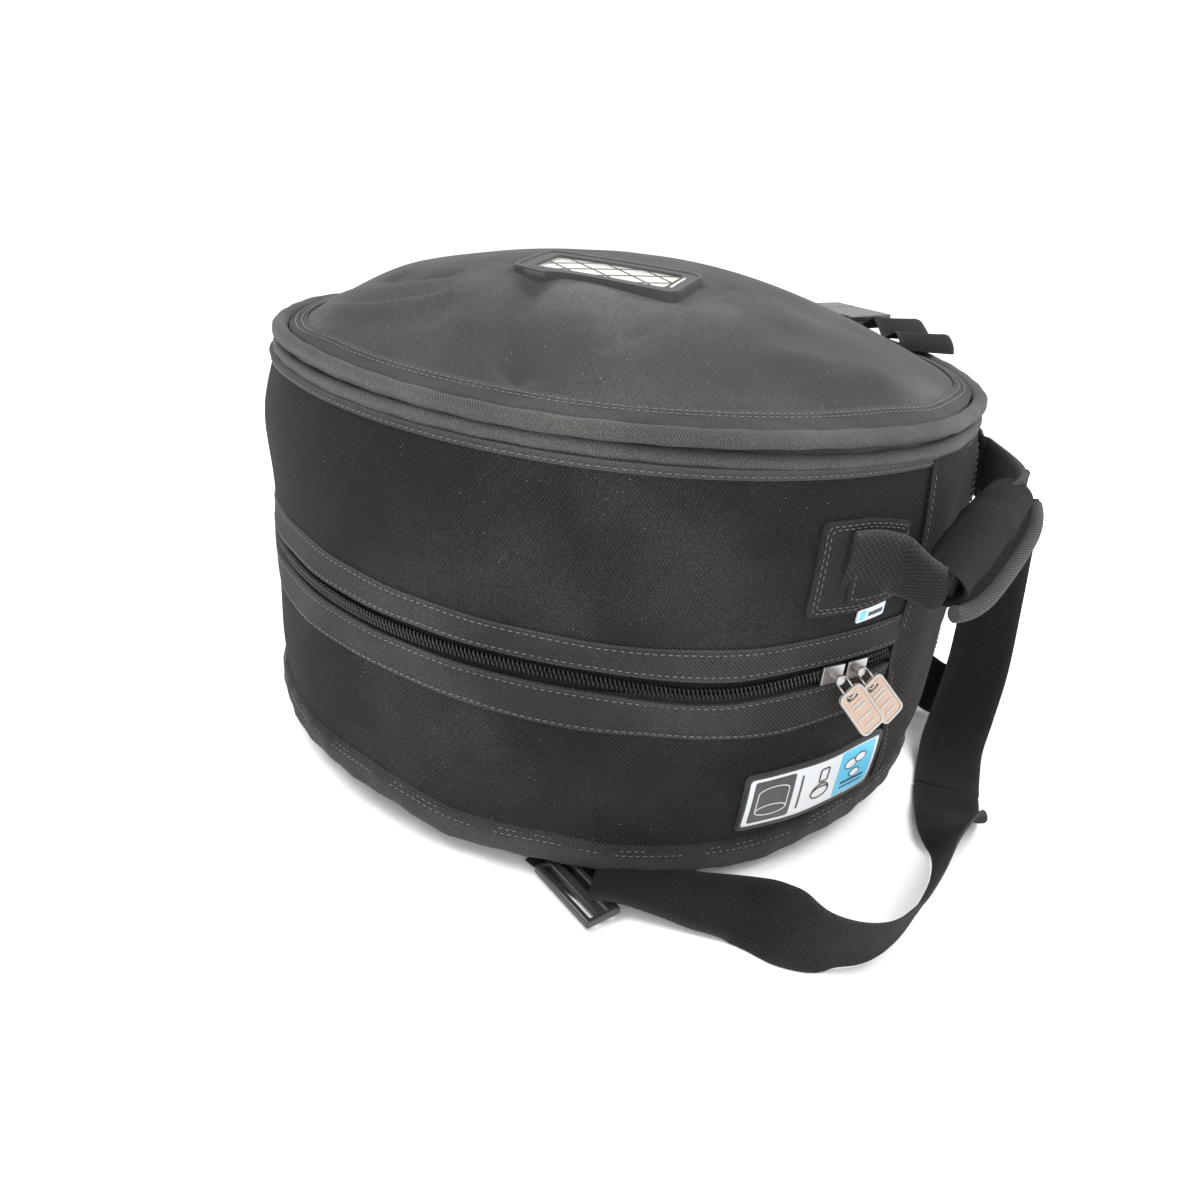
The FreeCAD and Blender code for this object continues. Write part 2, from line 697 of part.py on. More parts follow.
def top_strap():
    """Make the strap that comes out behind the pocket, its buckle and its loose tail."""
    rest = POCKET_FLOOR.value + S["fabric_gauge"].value + 10.8
    radius = UPPER_FACE_OUT.value - 15

    def station(azimuth, lift, reach=0.0, roll=0.0):
        angle = math.radians(azimuth)
        outward = Vector(math.cos(angle), math.sin(angle), 0)
        point = outward * (radius + reach) + Z_AXIS * (rest + lift)
        return tuple(point), tuple(outward + Z_AXIS * roll)

    buckle_middle = 70.0
    frame = wall_frame(buckle_middle, radius, rest)
    across = tuple(frame.Rotation.multVec(Vector(1, 0, 0)))

    def beside(distance, lift=0.0):
        return tuple(frame.multVec(Vector(0, distance, lift))), across

    room = S["body_gap"].value
    plug_end = S["buckle_length"].value * 0.55 + room * 2
    socket_end = -S["buckle_length"].value - room
    ribbon("top_strap_fixed", [station(118, -4.9, -3), station(108, -3, -1), station(98, -1),
                               beside(plug_end + 16), beside(plug_end + 8),
                               beside(plug_end)])
    ribbon("top_strap_tail", [
        beside(socket_end), beside(socket_end - 4), beside(socket_end - 8), station(54, 9, 2),
        station(50, 12, 6), station(46, 5, 7), station(42, 1, 7), station(38, 6, 9),
        station(34, 8, 11), station(31, 3, 12)])
    side_release_buckle(buckle_middle, radius, rest)


def side_release_buckle(azimuth, radius, level):
    """Make the buckle: a hollow socket, a plug with a tongue, and two sprung prongs."""
    place = wall_frame(azimuth, radius, level)
    length = S["buckle_length"]
    width = S["buckle_width"]
    height = S["buckle_height"]
    wall = S["buckle_wall"]
    free = S["prong_clearance"]
    split = S["body_gap"]
    # local Y runs along the strap; the socket is on the low side and the plug on the high side
    outer = block("socket_outer", width, length, height, place, (0.5, 1.0, 0.5))
    hollow = block("socket_hollow", width - wall * 2, length - wall * 2.5, height - wall * 2,
                   shifted(place, 0, 1, 0), (0.5, 1.0, 0.5))
    windows = block("socket_windows", width + 4, length * 0.4, height - wall * 2,
                    shifted(place, 0, -length * 0.34, 0), (0.5, 0.5, 0.5))
    room = document.addObject("Part::MultiFuse", "socket_room")
    room.Shapes = [hollow, windows]
    cut("top_buckle_socket", outer, room)
    bar = block("plug_bar", width, length * 0.55, height,
                shifted(place, 0, split, 0), (0.5, 0.0, 0.5))
    tongue = block("plug_tongue", width * 0.3, length * 0.75, height - wall * 3,
                   shifted(place, 0, split + 1, 0), (0.5, 1.0, 0.5))
    fused("top_buckle_plug", [bar, tongue])
    for label, sign in (("top_buckle_prong_inner", -1), ("top_buckle_prong_outer", 1)):
        arm_width = width * 0.12
        side = (width / 2 - wall - free - arm_width / 2) * sign
        keep(block(label, arm_width, length * 0.7, height - wall * 3,
                   shifted(place, side, -split, 0), (0.5, 1.0, 0.5)), label)


def floor_strap():
    """Make the long strap: up from the lid's wall, over, down to the floor and under the lid."""
    flat = (0.98, 0.15, 0.0)
    tail_side = (0.109, 0.994, 0.0)
    ribbon("floor_strap_riser", [
        ((161, 135, 47), (0, 0, 1)), ((171, 130, 46), (0, 0.1, 1)),
        ((184, 127, 43), (0.1, 0.2, 1)), ((199, 126, 37), (0.3, 0.3, 0.9)),
        ((211, 134, 35), (0.7, 0.3, 0.6)), ((215.5, 142.5, 45), (0.95, 0.1, 0.25)),
        ((215.5, 150.5, 62), flat),
        ((212.3, 160.4, 82), flat), ((208.2, 177, 101), flat),
        ((204.4, 192, 120.5), flat), ((201.5, 200.4, 134), flat),
        ((200, 201.5, 140), flat), ((200, 198, 142), flat)], steps=4)
    ribbon("floor_strap_drop", [
        ((201.0, 194.8, 139.6), flat), ((201.8, 194, 134.5), flat), ((205.4, 186, 122), flat),
        ((209.5, 170, 102.5), flat), ((214, 153, 83), flat), ((222, 122, 49), flat),
        ((226.5, 98, 25), flat), ((230, 80, 10), flat), ((235, 62, 2.4), flat),
        ((240, 45, 1.2), flat)], steps=4)
    ribbon("floor_strap_loop", [
        ((240.3, 44, 1.2), flat), ((246, 22, 1.9), (1, 0, 0.03)),
        ((251, 0, 9), (0.9, 0, 0.43)), ((254, -22, 17.5), (0.45, 0, 0.9)),
        ((257, -48, 19.8), (0.15, -0.05, 1)), ((258, -78, 20.2), (0.05, -0.1, 1)),
        ((255, -106, 20.2), (-0.05, -0.1, 1)), ((248, -127, 20), (-0.05, 0, 1)),
        ((232, -139, 19.2), (-0.12, 0.3, 0.95)), ((210, -139, 13.5), (-0.3, 0.75, 0.6)),
        ((188, -140, 7), (-0.4, 0.9, 0.26)), ((166, -148, 3.8), (-0.45, 0.88, 0.04)),
        ((150, -155, 3.8), (-0.5, 0.85, 0)), ((136.7, -161.2, 3.9), (-0.6, 0.8, 0))],
        steps=4)
    ribbon("floor_strap_tail", [
        ((127, -165, 1.1), tail_side), ((114, -163.6, 1.1), tail_side),
        ((100, -162, 1.1), tail_side), ((88, -160.7, 1.1), tail_side)], steps=2)
    adjuster()


def adjuster():
    """Make the ladder buckle at the end of the loop: a frame with two open slots."""
    gauge = S["adjuster_gauge"]
    middle = Size.of(1.1) + S["webbing_gauge"] / 2 + S["body_gap"] + gauge / 2
    place = FreeCAD.Placement(Vector(119.5, -181, middle.value),
                              FreeCAD.Rotation(Z_AXIS, 73.0))
    width = S["webbing_width"] + 7
    frame = block("adjuster_frame", 20, width, gauge, place, (0.5, 0.5, 0.5))
    slots = []
    for sign in (-1, 1):
        slots.append(block("adjuster_slot_{}".format(sign + 1), 4.0,
                           S["webbing_width"] + 2, 30,
                           shifted(place, sign * 4.6, 0, 0), (0.5, 0.5, 0.5)))
    openings = document.addObject("Part::MultiFuse", "adjuster_slots")
    openings.Shapes = slots
    cut("floor_adjuster", frame, openings)


def strap_root():
    """Make the sewn tab that fastens the long strap to the lid's wall."""
    place = wall_frame(39.0, SKIN_OUT, 47)
    keep(block("floor_strap_root", 3.6, 24, S["webbing_width"], place), "floor_strap_root")


def export_nodes():
    """Check every object, then write each node's solid to its own file."""
    document.recompute()
    for item in document.Objects:
        if "Invalid" in item.State or "Error" in item.State:
            raise RuntimeError("failed object: {} {}".format(item.Name, item.State))
    for item in NODES:
        shape = item.Shape
        if shape.isNull() or not shape.isValid():
            raise RuntimeError("bad shape: {}".format(item.Label))
    os.makedirs("parts", exist_ok=True)
    for item in NODES:
        item.Shape.exportStep(os.path.join("parts", item.Label + ".step"))
        print("{:26s} solids {} volume {:.0f}".format(
            item.Label, len(item.Shape.Solids), item.Shape.Volume))
    print(len(NODES), "nodes")


lid_layers()
base_layers()
strap_pocket()
card_window()
zip_chain()
hinge_panels()
lid_label()
side_tab()
sliders()
handle()
handle_anchors()
top_strap()
floor_strap()
strap_root()
export_nodes()
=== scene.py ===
"""Looks of a padded round drum bag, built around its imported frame.

All shapes are worked out in millimetres and put into the meshes in metres. Azimuth is
measured about the bag's upright axis, from +X, where the hinge panel and handle are.
"""

import json
import logging
import math
from dataclasses import dataclass
from enum import Enum
from typing import Callable, Sequence

import bmesh
import bpy
import numpy as np
from mathutils import Matrix, Vector

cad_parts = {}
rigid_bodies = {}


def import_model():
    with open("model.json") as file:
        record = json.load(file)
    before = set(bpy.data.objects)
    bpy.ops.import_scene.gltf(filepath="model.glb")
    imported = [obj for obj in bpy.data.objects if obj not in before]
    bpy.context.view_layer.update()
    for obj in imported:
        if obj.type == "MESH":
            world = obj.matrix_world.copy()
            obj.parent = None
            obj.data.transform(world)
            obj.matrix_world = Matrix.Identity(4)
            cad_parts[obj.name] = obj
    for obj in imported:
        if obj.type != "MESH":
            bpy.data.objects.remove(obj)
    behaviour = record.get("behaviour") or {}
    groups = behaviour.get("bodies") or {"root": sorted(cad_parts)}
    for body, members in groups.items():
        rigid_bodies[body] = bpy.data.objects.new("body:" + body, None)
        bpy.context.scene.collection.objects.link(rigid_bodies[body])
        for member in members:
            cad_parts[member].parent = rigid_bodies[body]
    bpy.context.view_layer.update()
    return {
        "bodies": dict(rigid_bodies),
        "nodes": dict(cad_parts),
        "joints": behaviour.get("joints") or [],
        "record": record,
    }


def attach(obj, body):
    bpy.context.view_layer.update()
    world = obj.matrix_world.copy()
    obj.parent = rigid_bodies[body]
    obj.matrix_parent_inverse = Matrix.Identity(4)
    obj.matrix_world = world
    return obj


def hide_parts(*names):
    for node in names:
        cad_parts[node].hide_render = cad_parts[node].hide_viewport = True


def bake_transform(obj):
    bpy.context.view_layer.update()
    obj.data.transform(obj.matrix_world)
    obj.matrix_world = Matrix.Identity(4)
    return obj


LOG = logging.getLogger("drum_bag")
MM = 0.001
Piece = bpy.types.Object
Socket = bpy.types.NodeSocket
UP = np.array([0.0, 0.0, 1.0])
Array = np.ndarray
Place = Callable[[Array, Array, Array], Array]
TURN = 2 * math.pi

# Scales of the cloth's patterns, in features per metre.
FIBRE_SCALE = 2600.0
BLOTCH_SCALE = 12.0
GRAIN_SCALE = 1500.0
SPECK_SCALE = 260.0
LINT_PATCH_SCALE = 40.0
FRAY_SCALE = 1600.0

# Scales of the moulded finishes' patterns, in features per metre.
SCRATCH_SCALE = 380.0
SCUFF_PATCH_SCALE = 60.0
FINE_GRAIN_SCALE = 3000.0


# ---- mesh building


def running_length(points: Array) -> Array:
    """Length along a line of points, starting at 0, in the points' own unit."""
    steps = np.linalg.norm(np.diff(points, axis=0), axis=1)
    return np.concatenate([[0.0], np.cumsum(steps)])


def finish_mesh(name: str, mesh: bpy.types.Mesh, weld: bool, crease: float) -> Piece:
    """Link a mesh, close its seams and point its faces outwards.

    Args:
        name: The piece's name.
        mesh: The mesh, in metres.
        weld: Merge points that lie together, as at a pole.
        crease: Angle in degrees past which an edge stays sharp.

    Returns:
        The linked object.
    """
    shape = bmesh.new()
    shape.from_mesh(mesh)
    if weld:
        bmesh.ops.remove_doubles(shape, verts=shape.verts, dist=2e-6)
        bmesh.ops.dissolve_degenerate(shape, edges=shape.edges, dist=1e-7)
    bmesh.ops.recalc_face_normals(shape, faces=shape.faces)
    shape.to_mesh(mesh)
    shape.free()
    mesh.polygons.foreach_set("use_smooth", np.ones(len(mesh.polygons), bool))
    mesh.set_sharp_from_angle(angle=math.radians(crease))
    piece = bpy.data.objects.new(name, mesh)
    bpy.context.scene.collection.objects.link(piece)
    return piece


def ring_solid(name: str, rings: Array, closed: bool, wear: Array | None = None,
               weld: bool = False, crease: float = 50.0) -> Piece:
    """Skin a row of closed rings with quads; an open row gets a cap at each end.

    The UV map "thread" is the length along the row by the length round the ring, in metres.

    Args:
        name: The piece's name.
        rings: Points in millimetres, shaped (rings, points in a ring, 3).
        closed: Join the last ring to the first.
        wear: Wear of each point from 0 to 1, shaped (rings, points in a ring).
        weld: Merge points that lie together.
        crease: Angle in degrees past which an edge stays sharp.

    Returns:
        The linked object.
    """
    count, around = rings.shape[:2]
    spans = count if closed else count - 1
    i = np.arange(spans)[:, None]
    j = np.arange(around)[None, :]
    i_next = (i + 1) % count
    j_next = (j + 1) % around
    corners = [i * around + j, i_next * around + j, i_next * around + j_next, i * around + j_next]
    quads = np.stack(np.broadcast_arrays(*corners), -1).reshape(-1, 4)
    middle = rings.mean(axis=1)
    path = np.vstack([middle, middle[:1]]) if closed else middle
    reach = np.linalg.norm(rings, axis=2).max() if closed else 0.0
    along = running_length(path)
    if closed:
        along *= TURN * reach / max(along[-1], 1e-6)
    across = running_length(np.vstack([rings[0], rings[0][:1]]))
    u = np.stack(np.broadcast_arrays(along[i], along[i + 1], along[i + 1], along[i]), -1)
    u = np.broadcast_to(u, (spans, around, 4))
    v = np.stack(np.broadcast_arrays(across[j], across[j], across[j + 1], across[j + 1]), -1)
    v = np.broadcast_to(v, (spans, around, 4))
    caps = [] if closed else [list(range(around)),
                              [(count - 1) * around + k for k in range(around)]]
    mesh = bpy.data.meshes.new(name)
    mesh.from_pydata((rings.reshape(-1, 3) * MM).tolist(), [], quads.tolist() + caps)
    flat = np.zeros((len(mesh.loops), 2))
    flat[:u.size] = np.stack([u.ravel(), v.ravel()], -1) * MM
    mesh.uv_layers.new(name="thread").data.foreach_set("uv", flat.ravel())
    worn = np.zeros((count, around)) if wear is None else np.broadcast_to(wear, (count, around))
    layer = mesh.attributes.new("wear", "FLOAT", "POINT")
    layer.data.foreach_set("value", worn.astype(np.float32).ravel())
    return finish_mesh(name, mesh, weld, crease)


def sheet_solid(name: str, outer: Array, inner: Array, closed: bool,
                wear: Array | None = None, weld: bool = False) -> Piece:
    """Close two facing grids into one thin solid: out along the first, back along the second.

    Args:
        name: The piece's name.
        outer: Points (rows, columns, 3) of the outer face, in millimetres.
        inner: Points of the inner face, of the same shape.
        closed: Join the last row to the first.
        wear: Wear of each point from 0 to 1.
        weld: Merge points that lie together.

    Returns:
        The linked object.
    """
    rings = np.concatenate([outer, inner[:, ::-1]], axis=1)
    both = None if wear is None else np.concatenate([wear, wear[:, ::-1]], axis=1)
    return ring_solid(name, rings, closed, both, weld)


def polar(radius: Array, azimuth: Array, height: Array) -> Array:
    """Points at a radius, an azimuth in degrees and a height."""
    angle = np.radians(azimuth)
    parts = np.broadcast_arrays(radius * np.cos(angle), radius * np.sin(angle), height)
    return np.stack(parts, -1)


def smooth_rows(rows: Array, steps: int) -> Array:
    """Catmull-Rom curve through rows of numbers: a cubic blend of four neighbouring rows.

    Args:
        rows: Rows that it passes through.
        steps: Number of steps from one row to the next.

    Returns:
        The rows of the curve, with both ends.
    """
    padded = np.vstack([2 * rows[0] - rows[1], rows, 2 * rows[-1] - rows[-2]])
    t = np.linspace(0, 1, steps, endpoint=False)[None, :, None]
    p0, p1, p2, p3 = (padded[k:len(padded) - 3 + k][:, None, :] for k in range(4))
    curve = 0.5 * (2 * p1 + (p2 - p0) * t + (2 * p0 - 5 * p1 + 4 * p2 - p3) * t ** 2
                   + (3 * p1 - p0 - 3 * p2 + p3) * t ** 3)
    return np.vstack([curve.reshape(-1, rows.shape[1]), rows[-1:]])


def unit(rows: Array) -> Array:
    """Rows scaled to length 1."""
    return rows / np.maximum(np.linalg.norm(rows, axis=-1, keepdims=True), 1e-9)


def even_line(points: Array, count: int, closed: bool = True) -> Array:
    """Points spaced evenly along a line, by its running length.

    Args:
        points: Points of the line.
        count: Number of points wanted.
        closed: Whether the line runs back to its first point.

    Returns:
        The evenly spaced points.
    """
    line = np.vstack([points, points[:1]]) if closed else points
    run = running_length(line)
    at = np.linspace(0, run[-1], count, endpoint=not closed)
    return np.stack([np.interp(at, run, line[:, k]) for k in range(line.shape[1])], -1)


def rounded_outline(length: float, width: float, corner: float, count: int) -> Array:
    """Outline of a rectangle with round corners, centred, as evenly spaced points.

    Each corner is a quarter circle about a point one corner radius in from both sides.

    Args:
        length: Size along the first direction.
        width: Size along the second direction.
        corner: Radius of the corners.
        count: Number of points.

    Returns:
        Points (count, 2).
    """
    turn = np.linspace(0, math.pi / 2, 9)
    centres = [(1, 1), (-1, 1), (-1, -1), (1, -1)]
    arcs = [np.stack([sx * (length / 2 - corner) + corner * np.cos(turn + k * math.pi / 2),
                      sy * (width / 2 - corner) + corner * np.sin(turn + k * math.pi / 2)], -1)
            for k, (sx, sy) in enumerate(centres)]
    return even_line(np.vstack(arcs), count)


def level_line(first: float, last: float, level: float, count: int = 8) -> Array:
    """Points (count, 2) of a straight line from first to last at one level."""
    return np.stack([np.linspace(first, last, count), np.full(count, level)], -1)


def circle(count: int) -> Array:
    """Angles in radians of points spaced evenly round a circle."""
    return np.linspace(0, TURN, count, endpoint=False)


def plate(name: str, outline: Array, place: Place, lift: float, gauge: float,
          hole: Array | None = None, round_over: float = 0.3, spokes: int = 8) -> Piece:
    """A thin plate that follows a curved ground, with an optional hole.

    Each spoke runs from the middle, or from the hole's edge, to the outline, over the
    rounded edge and back along the underside.

    Args:
        name: The piece's name.
        outline: Points (n, 2) of the edge, seen from its middle.
        place: Gives points from (s, t, lift above the ground).
        lift: Height of the underside above the ground.
        gauge: Thickness.
        hole: Outline (n, 2) of the hole.
        round_over: Radius of the edge's rounding.
        spokes: Number of points from the middle to the edge.

    Returns:
        The linked object.
    """
    inner = np.broadcast_to(outline.mean(axis=0), outline.shape) if hole is None else hole
    span = unit(outline - inner)
    t = np.linspace(0, 1, spokes)
    top = inner[:, None] + (outline - inner - span * round_over)[:, None] * t[None, :, None]
    if hole is not None:
        top[:, 0] += span * round_over
    rims = [top[:, -1] + span * round_over, outline]
    rise = [gauge - round_over * 0.4, gauge * 0.4]
    flat = [top, rims[0][:, None], rims[1][:, None], (inner[:, None] + (
        outline - inner)[:, None] * t[None, ::-1, None])]
    level = [np.full(spokes, gauge), np.array(rise[:1]), np.array(rise[1:]), np.zeros(spokes)]
    if hole is not None:
        flat.append(inner[:, None])
        level.append(np.array([gauge * 0.6]))
    points = np.concatenate(flat, axis=1)
    heights = np.broadcast_to(np.concatenate(level), points.shape[:2])
    return ring_solid(name, place(points[..., 0], points[..., 1], heights + lift), True,
                      weld=hole is None)


def tube(name: str, line: Array, radius: float | Array, sides: int = 16, closed: bool = False,
         squeeze: float = 1.0, wear: Array | None = None) -> Piece:
    """A round or flattened tube along a line, kept upright by the world's up direction.

    Each ring is a point of the line plus the radius times a circle square to the path.

    Args:
        name: The piece's name.
        line: Points of its middle line.
        radius: Radius, or one radius for each point.
        sides: Points round each ring.
        closed: Join its ends.
        squeeze: Height of the section as a share of its width.
        wear: Wear of each point from 0 to 1.

    Returns:
        The linked object.
    """
    ahead = np.roll(line, -1, axis=0) - np.roll(line, 1, axis=0) if closed else np.gradient(
        line, axis=0)
    ahead = unit(ahead)
    side = unit(np.cross(ahead, UP))
    rise = np.cross(side, ahead)
    turn = circle(sides)
    reach = np.broadcast_to(np.asarray(radius, float), (len(line),))[:, None, None]
    spread = (side[:, None] * np.cos(turn)[None, :, None]
              + rise[:, None] * np.sin(turn)[None, :, None] * squeeze)
    return ring_solid(name, line[:, None] + spread * reach, closed, wear)


def ribbon(name: str, stations: Sequence[tuple], width: float | Sequence[float], gauge: float,
           steps: int = 10, cup: float = 0.0, belly: float = 0.0) -> Piece:
    """A flat strap through stations of (point, direction of its width).

    The cross-section is flat with thinner, slightly raised edges. Its width direction is
    turned square to the path, and cup bends the section by that height at its edges.

    Args:
        name: The piece's name.
        stations: Pairs of a point and a width direction.
        width: Strap width, or one width for each station.
        gauge: Strap thickness.
        steps: Steps between two stations.
        cup: Height of the edges over the middle.
        belly: Amplitude of the slight waves along the edges.

    Returns:
        The linked object.
    """
    widths = np.broadcast_to(np.asarray(width, float), (len(stations),))
    rows = np.array([[*point, *side, wide] for (point, side), wide in zip(stations, widths)])
    curve = smooth_rows(rows, steps)
    line, reach = curve[:, :3], curve[:, 6:7]
    ahead = unit(np.gradient(line, axis=0))
    side = curve[:, 3:6] - ahead * np.sum(curve[:, 3:6] * ahead, axis=1, keepdims=True)
    side = unit(side)
    normal = np.cross(ahead, side)
    s = np.linspace(-1, 1, 15)
    half = gauge / 2 * np.where(np.abs(s) > 0.97, 0.45, 1.0) * np.where(
        (np.abs(s) > 0.8) & (np.abs(s) < 0.95), 1.25, 1.0)
    run = running_length(line)[:, None]
    wave = belly * np.sin(run / 17.0 + s[None, :] * 1.5) * s[None, :] ** 2
    lift = cup * s[None, :] ** 2 + wave
    base = line[:, None] + side[:, None] * (s[None, :] * reach / 2)[..., None]
    outer = base + normal[:, None] * (lift + half[None, :])[..., None]
    inner = base + normal[:, None] * (lift - half[None, :])[..., None]
    wear = np.broadcast_to(np.abs(s)[None, :] ** 8, lift.shape)
    return sheet_solid(name, outer, inner, False, wear)


def softened_node(name: str, node: str, bevel: float) -> Piece:
    """A copy of a moulded frame node with its edges rounded by a bevel.

    Args:
        name: The new piece's name.
        node: The frame node that it copies and replaces.
        bevel: Width of the rounding in millimetres.

    Returns:
        The linked object.
    """
    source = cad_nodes()[node]
    mesh = source.data.copy()
    mesh.materials.clear()
    shape = bmesh.new()
    shape.from_mesh(mesh)
    bmesh.ops.remove_doubles(shape, verts=shape.verts, dist=2e-6)
    bmesh.ops.dissolve_limit(shape, angle_limit=math.radians(1.0), verts=shape.verts,
                             edges=shape.edges)
    shape.to_mesh(mesh)
    shape.free()
    piece = bpy.data.objects.new(name, mesh)
    bpy.context.scene.collection.objects.link(piece)
    edge = piece.modifiers.new("edge", "BEVEL")
    edge.width = bevel * MM
    edge.segments = 3
    edge.limit_method = "ANGLE"
    edge.angle_limit = math.radians(35)
    mesh.polygons.foreach_set("use_smooth", np.ones(len(mesh.polygons), bool))
    mesh.set_sharp_from_angle(angle=math.radians(40))
    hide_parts(node)
    return piece


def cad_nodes() -> dict:
    """The frame's nodes by name."""
    return FRAME["nodes"]


FRAME: dict = {}


# ---- finishes


class Weave(Enum):
    """How a cloth's threads cross."""

    PLAIN = "plain"
    TWILL = "twill"
    HERRINGBONE = "herringbone"
    WEBBING = "webbing"
    FLEECE = "fleece"


class Nodes:
    """Short way to add and wire shader nodes of one material."""

    def __init__(self, name: str) -> None:
        """Start a material with only its output and one principled shader."""
        self.material = bpy.data.materials.new(name)
        self.material.use_nodes = True
        self.tree = self.material.node_tree
        self.tree.nodes.clear()
        self.shader = self.tree.nodes.new("ShaderNodeBsdfPrincipled")
        output = self.tree.nodes.new("ShaderNodeOutputMaterial")
        self.tree.links.new(self.shader.outputs[0], output.inputs[0])

    def add(self, kind: str, inputs: dict | None = None, **settings) -> bpy.types.Node:
        """Add a node.

        Args:
            kind: Its type, without the leading "ShaderNode".
            inputs: Maps a socket's name or place to a value or another socket.
            **settings: The node's own settings.

        Returns:
            The node.
        """
        node = self.tree.nodes.new("ShaderNode" + kind)
        for key, value in settings.items():
            setattr(node, key, value)
        for key, value in (inputs or {}).items():
            self.put(node.inputs[key], value)
        return node

    def put(self, socket: Socket, value: object) -> None:
        """Wire a socket to another, or set its value."""
        if isinstance(value, Socket):
            self.tree.links.new(value, socket)
        else:
            socket.default_value = value

    def shade(self, values: dict) -> None:
        """Wire or set the shader's own sockets by name."""
        for key, value in values.items():
            self.put(self.shader.inputs[key], value)

    def math(self, operation: str, *values: object) -> Socket:
        """One math node on values or sockets."""
        node = self.add("Math", dict(enumerate(values)), operation=operation)
        return node.outputs[0]

    def mix(self, share: object, first: object, second: object) -> Socket:
        """Blend two colours."""
        node = self.add("Mix", {0: share, 6: first, 7: second}, data_type="RGBA")
        return node.outputs[2]

    def noise(self, where: object, scale: float, detail: float = 3.0) -> Socket:
        """Noise value at a place; scale is per metre."""
        node = self.add("TexNoise", {"Vector": where, "Scale": scale, "Detail": detail})
        return node.outputs[0]

    def step(self, value: object, low: float, high: float) -> Socket:
        """Smooth 0 to 1 step of a value between low and high."""
        node = self.add("MapRange", {0: value, 1: low, 2: high}, interpolation_type="SMOOTHSTEP")
        return node.outputs[0]


def rgb(grey: float, warm: float = 0.0) -> tuple:
    """A near grey, warmer or cooler by a share."""
    return (grey * (1 + warm), grey, grey * (1 - warm), 1.0)


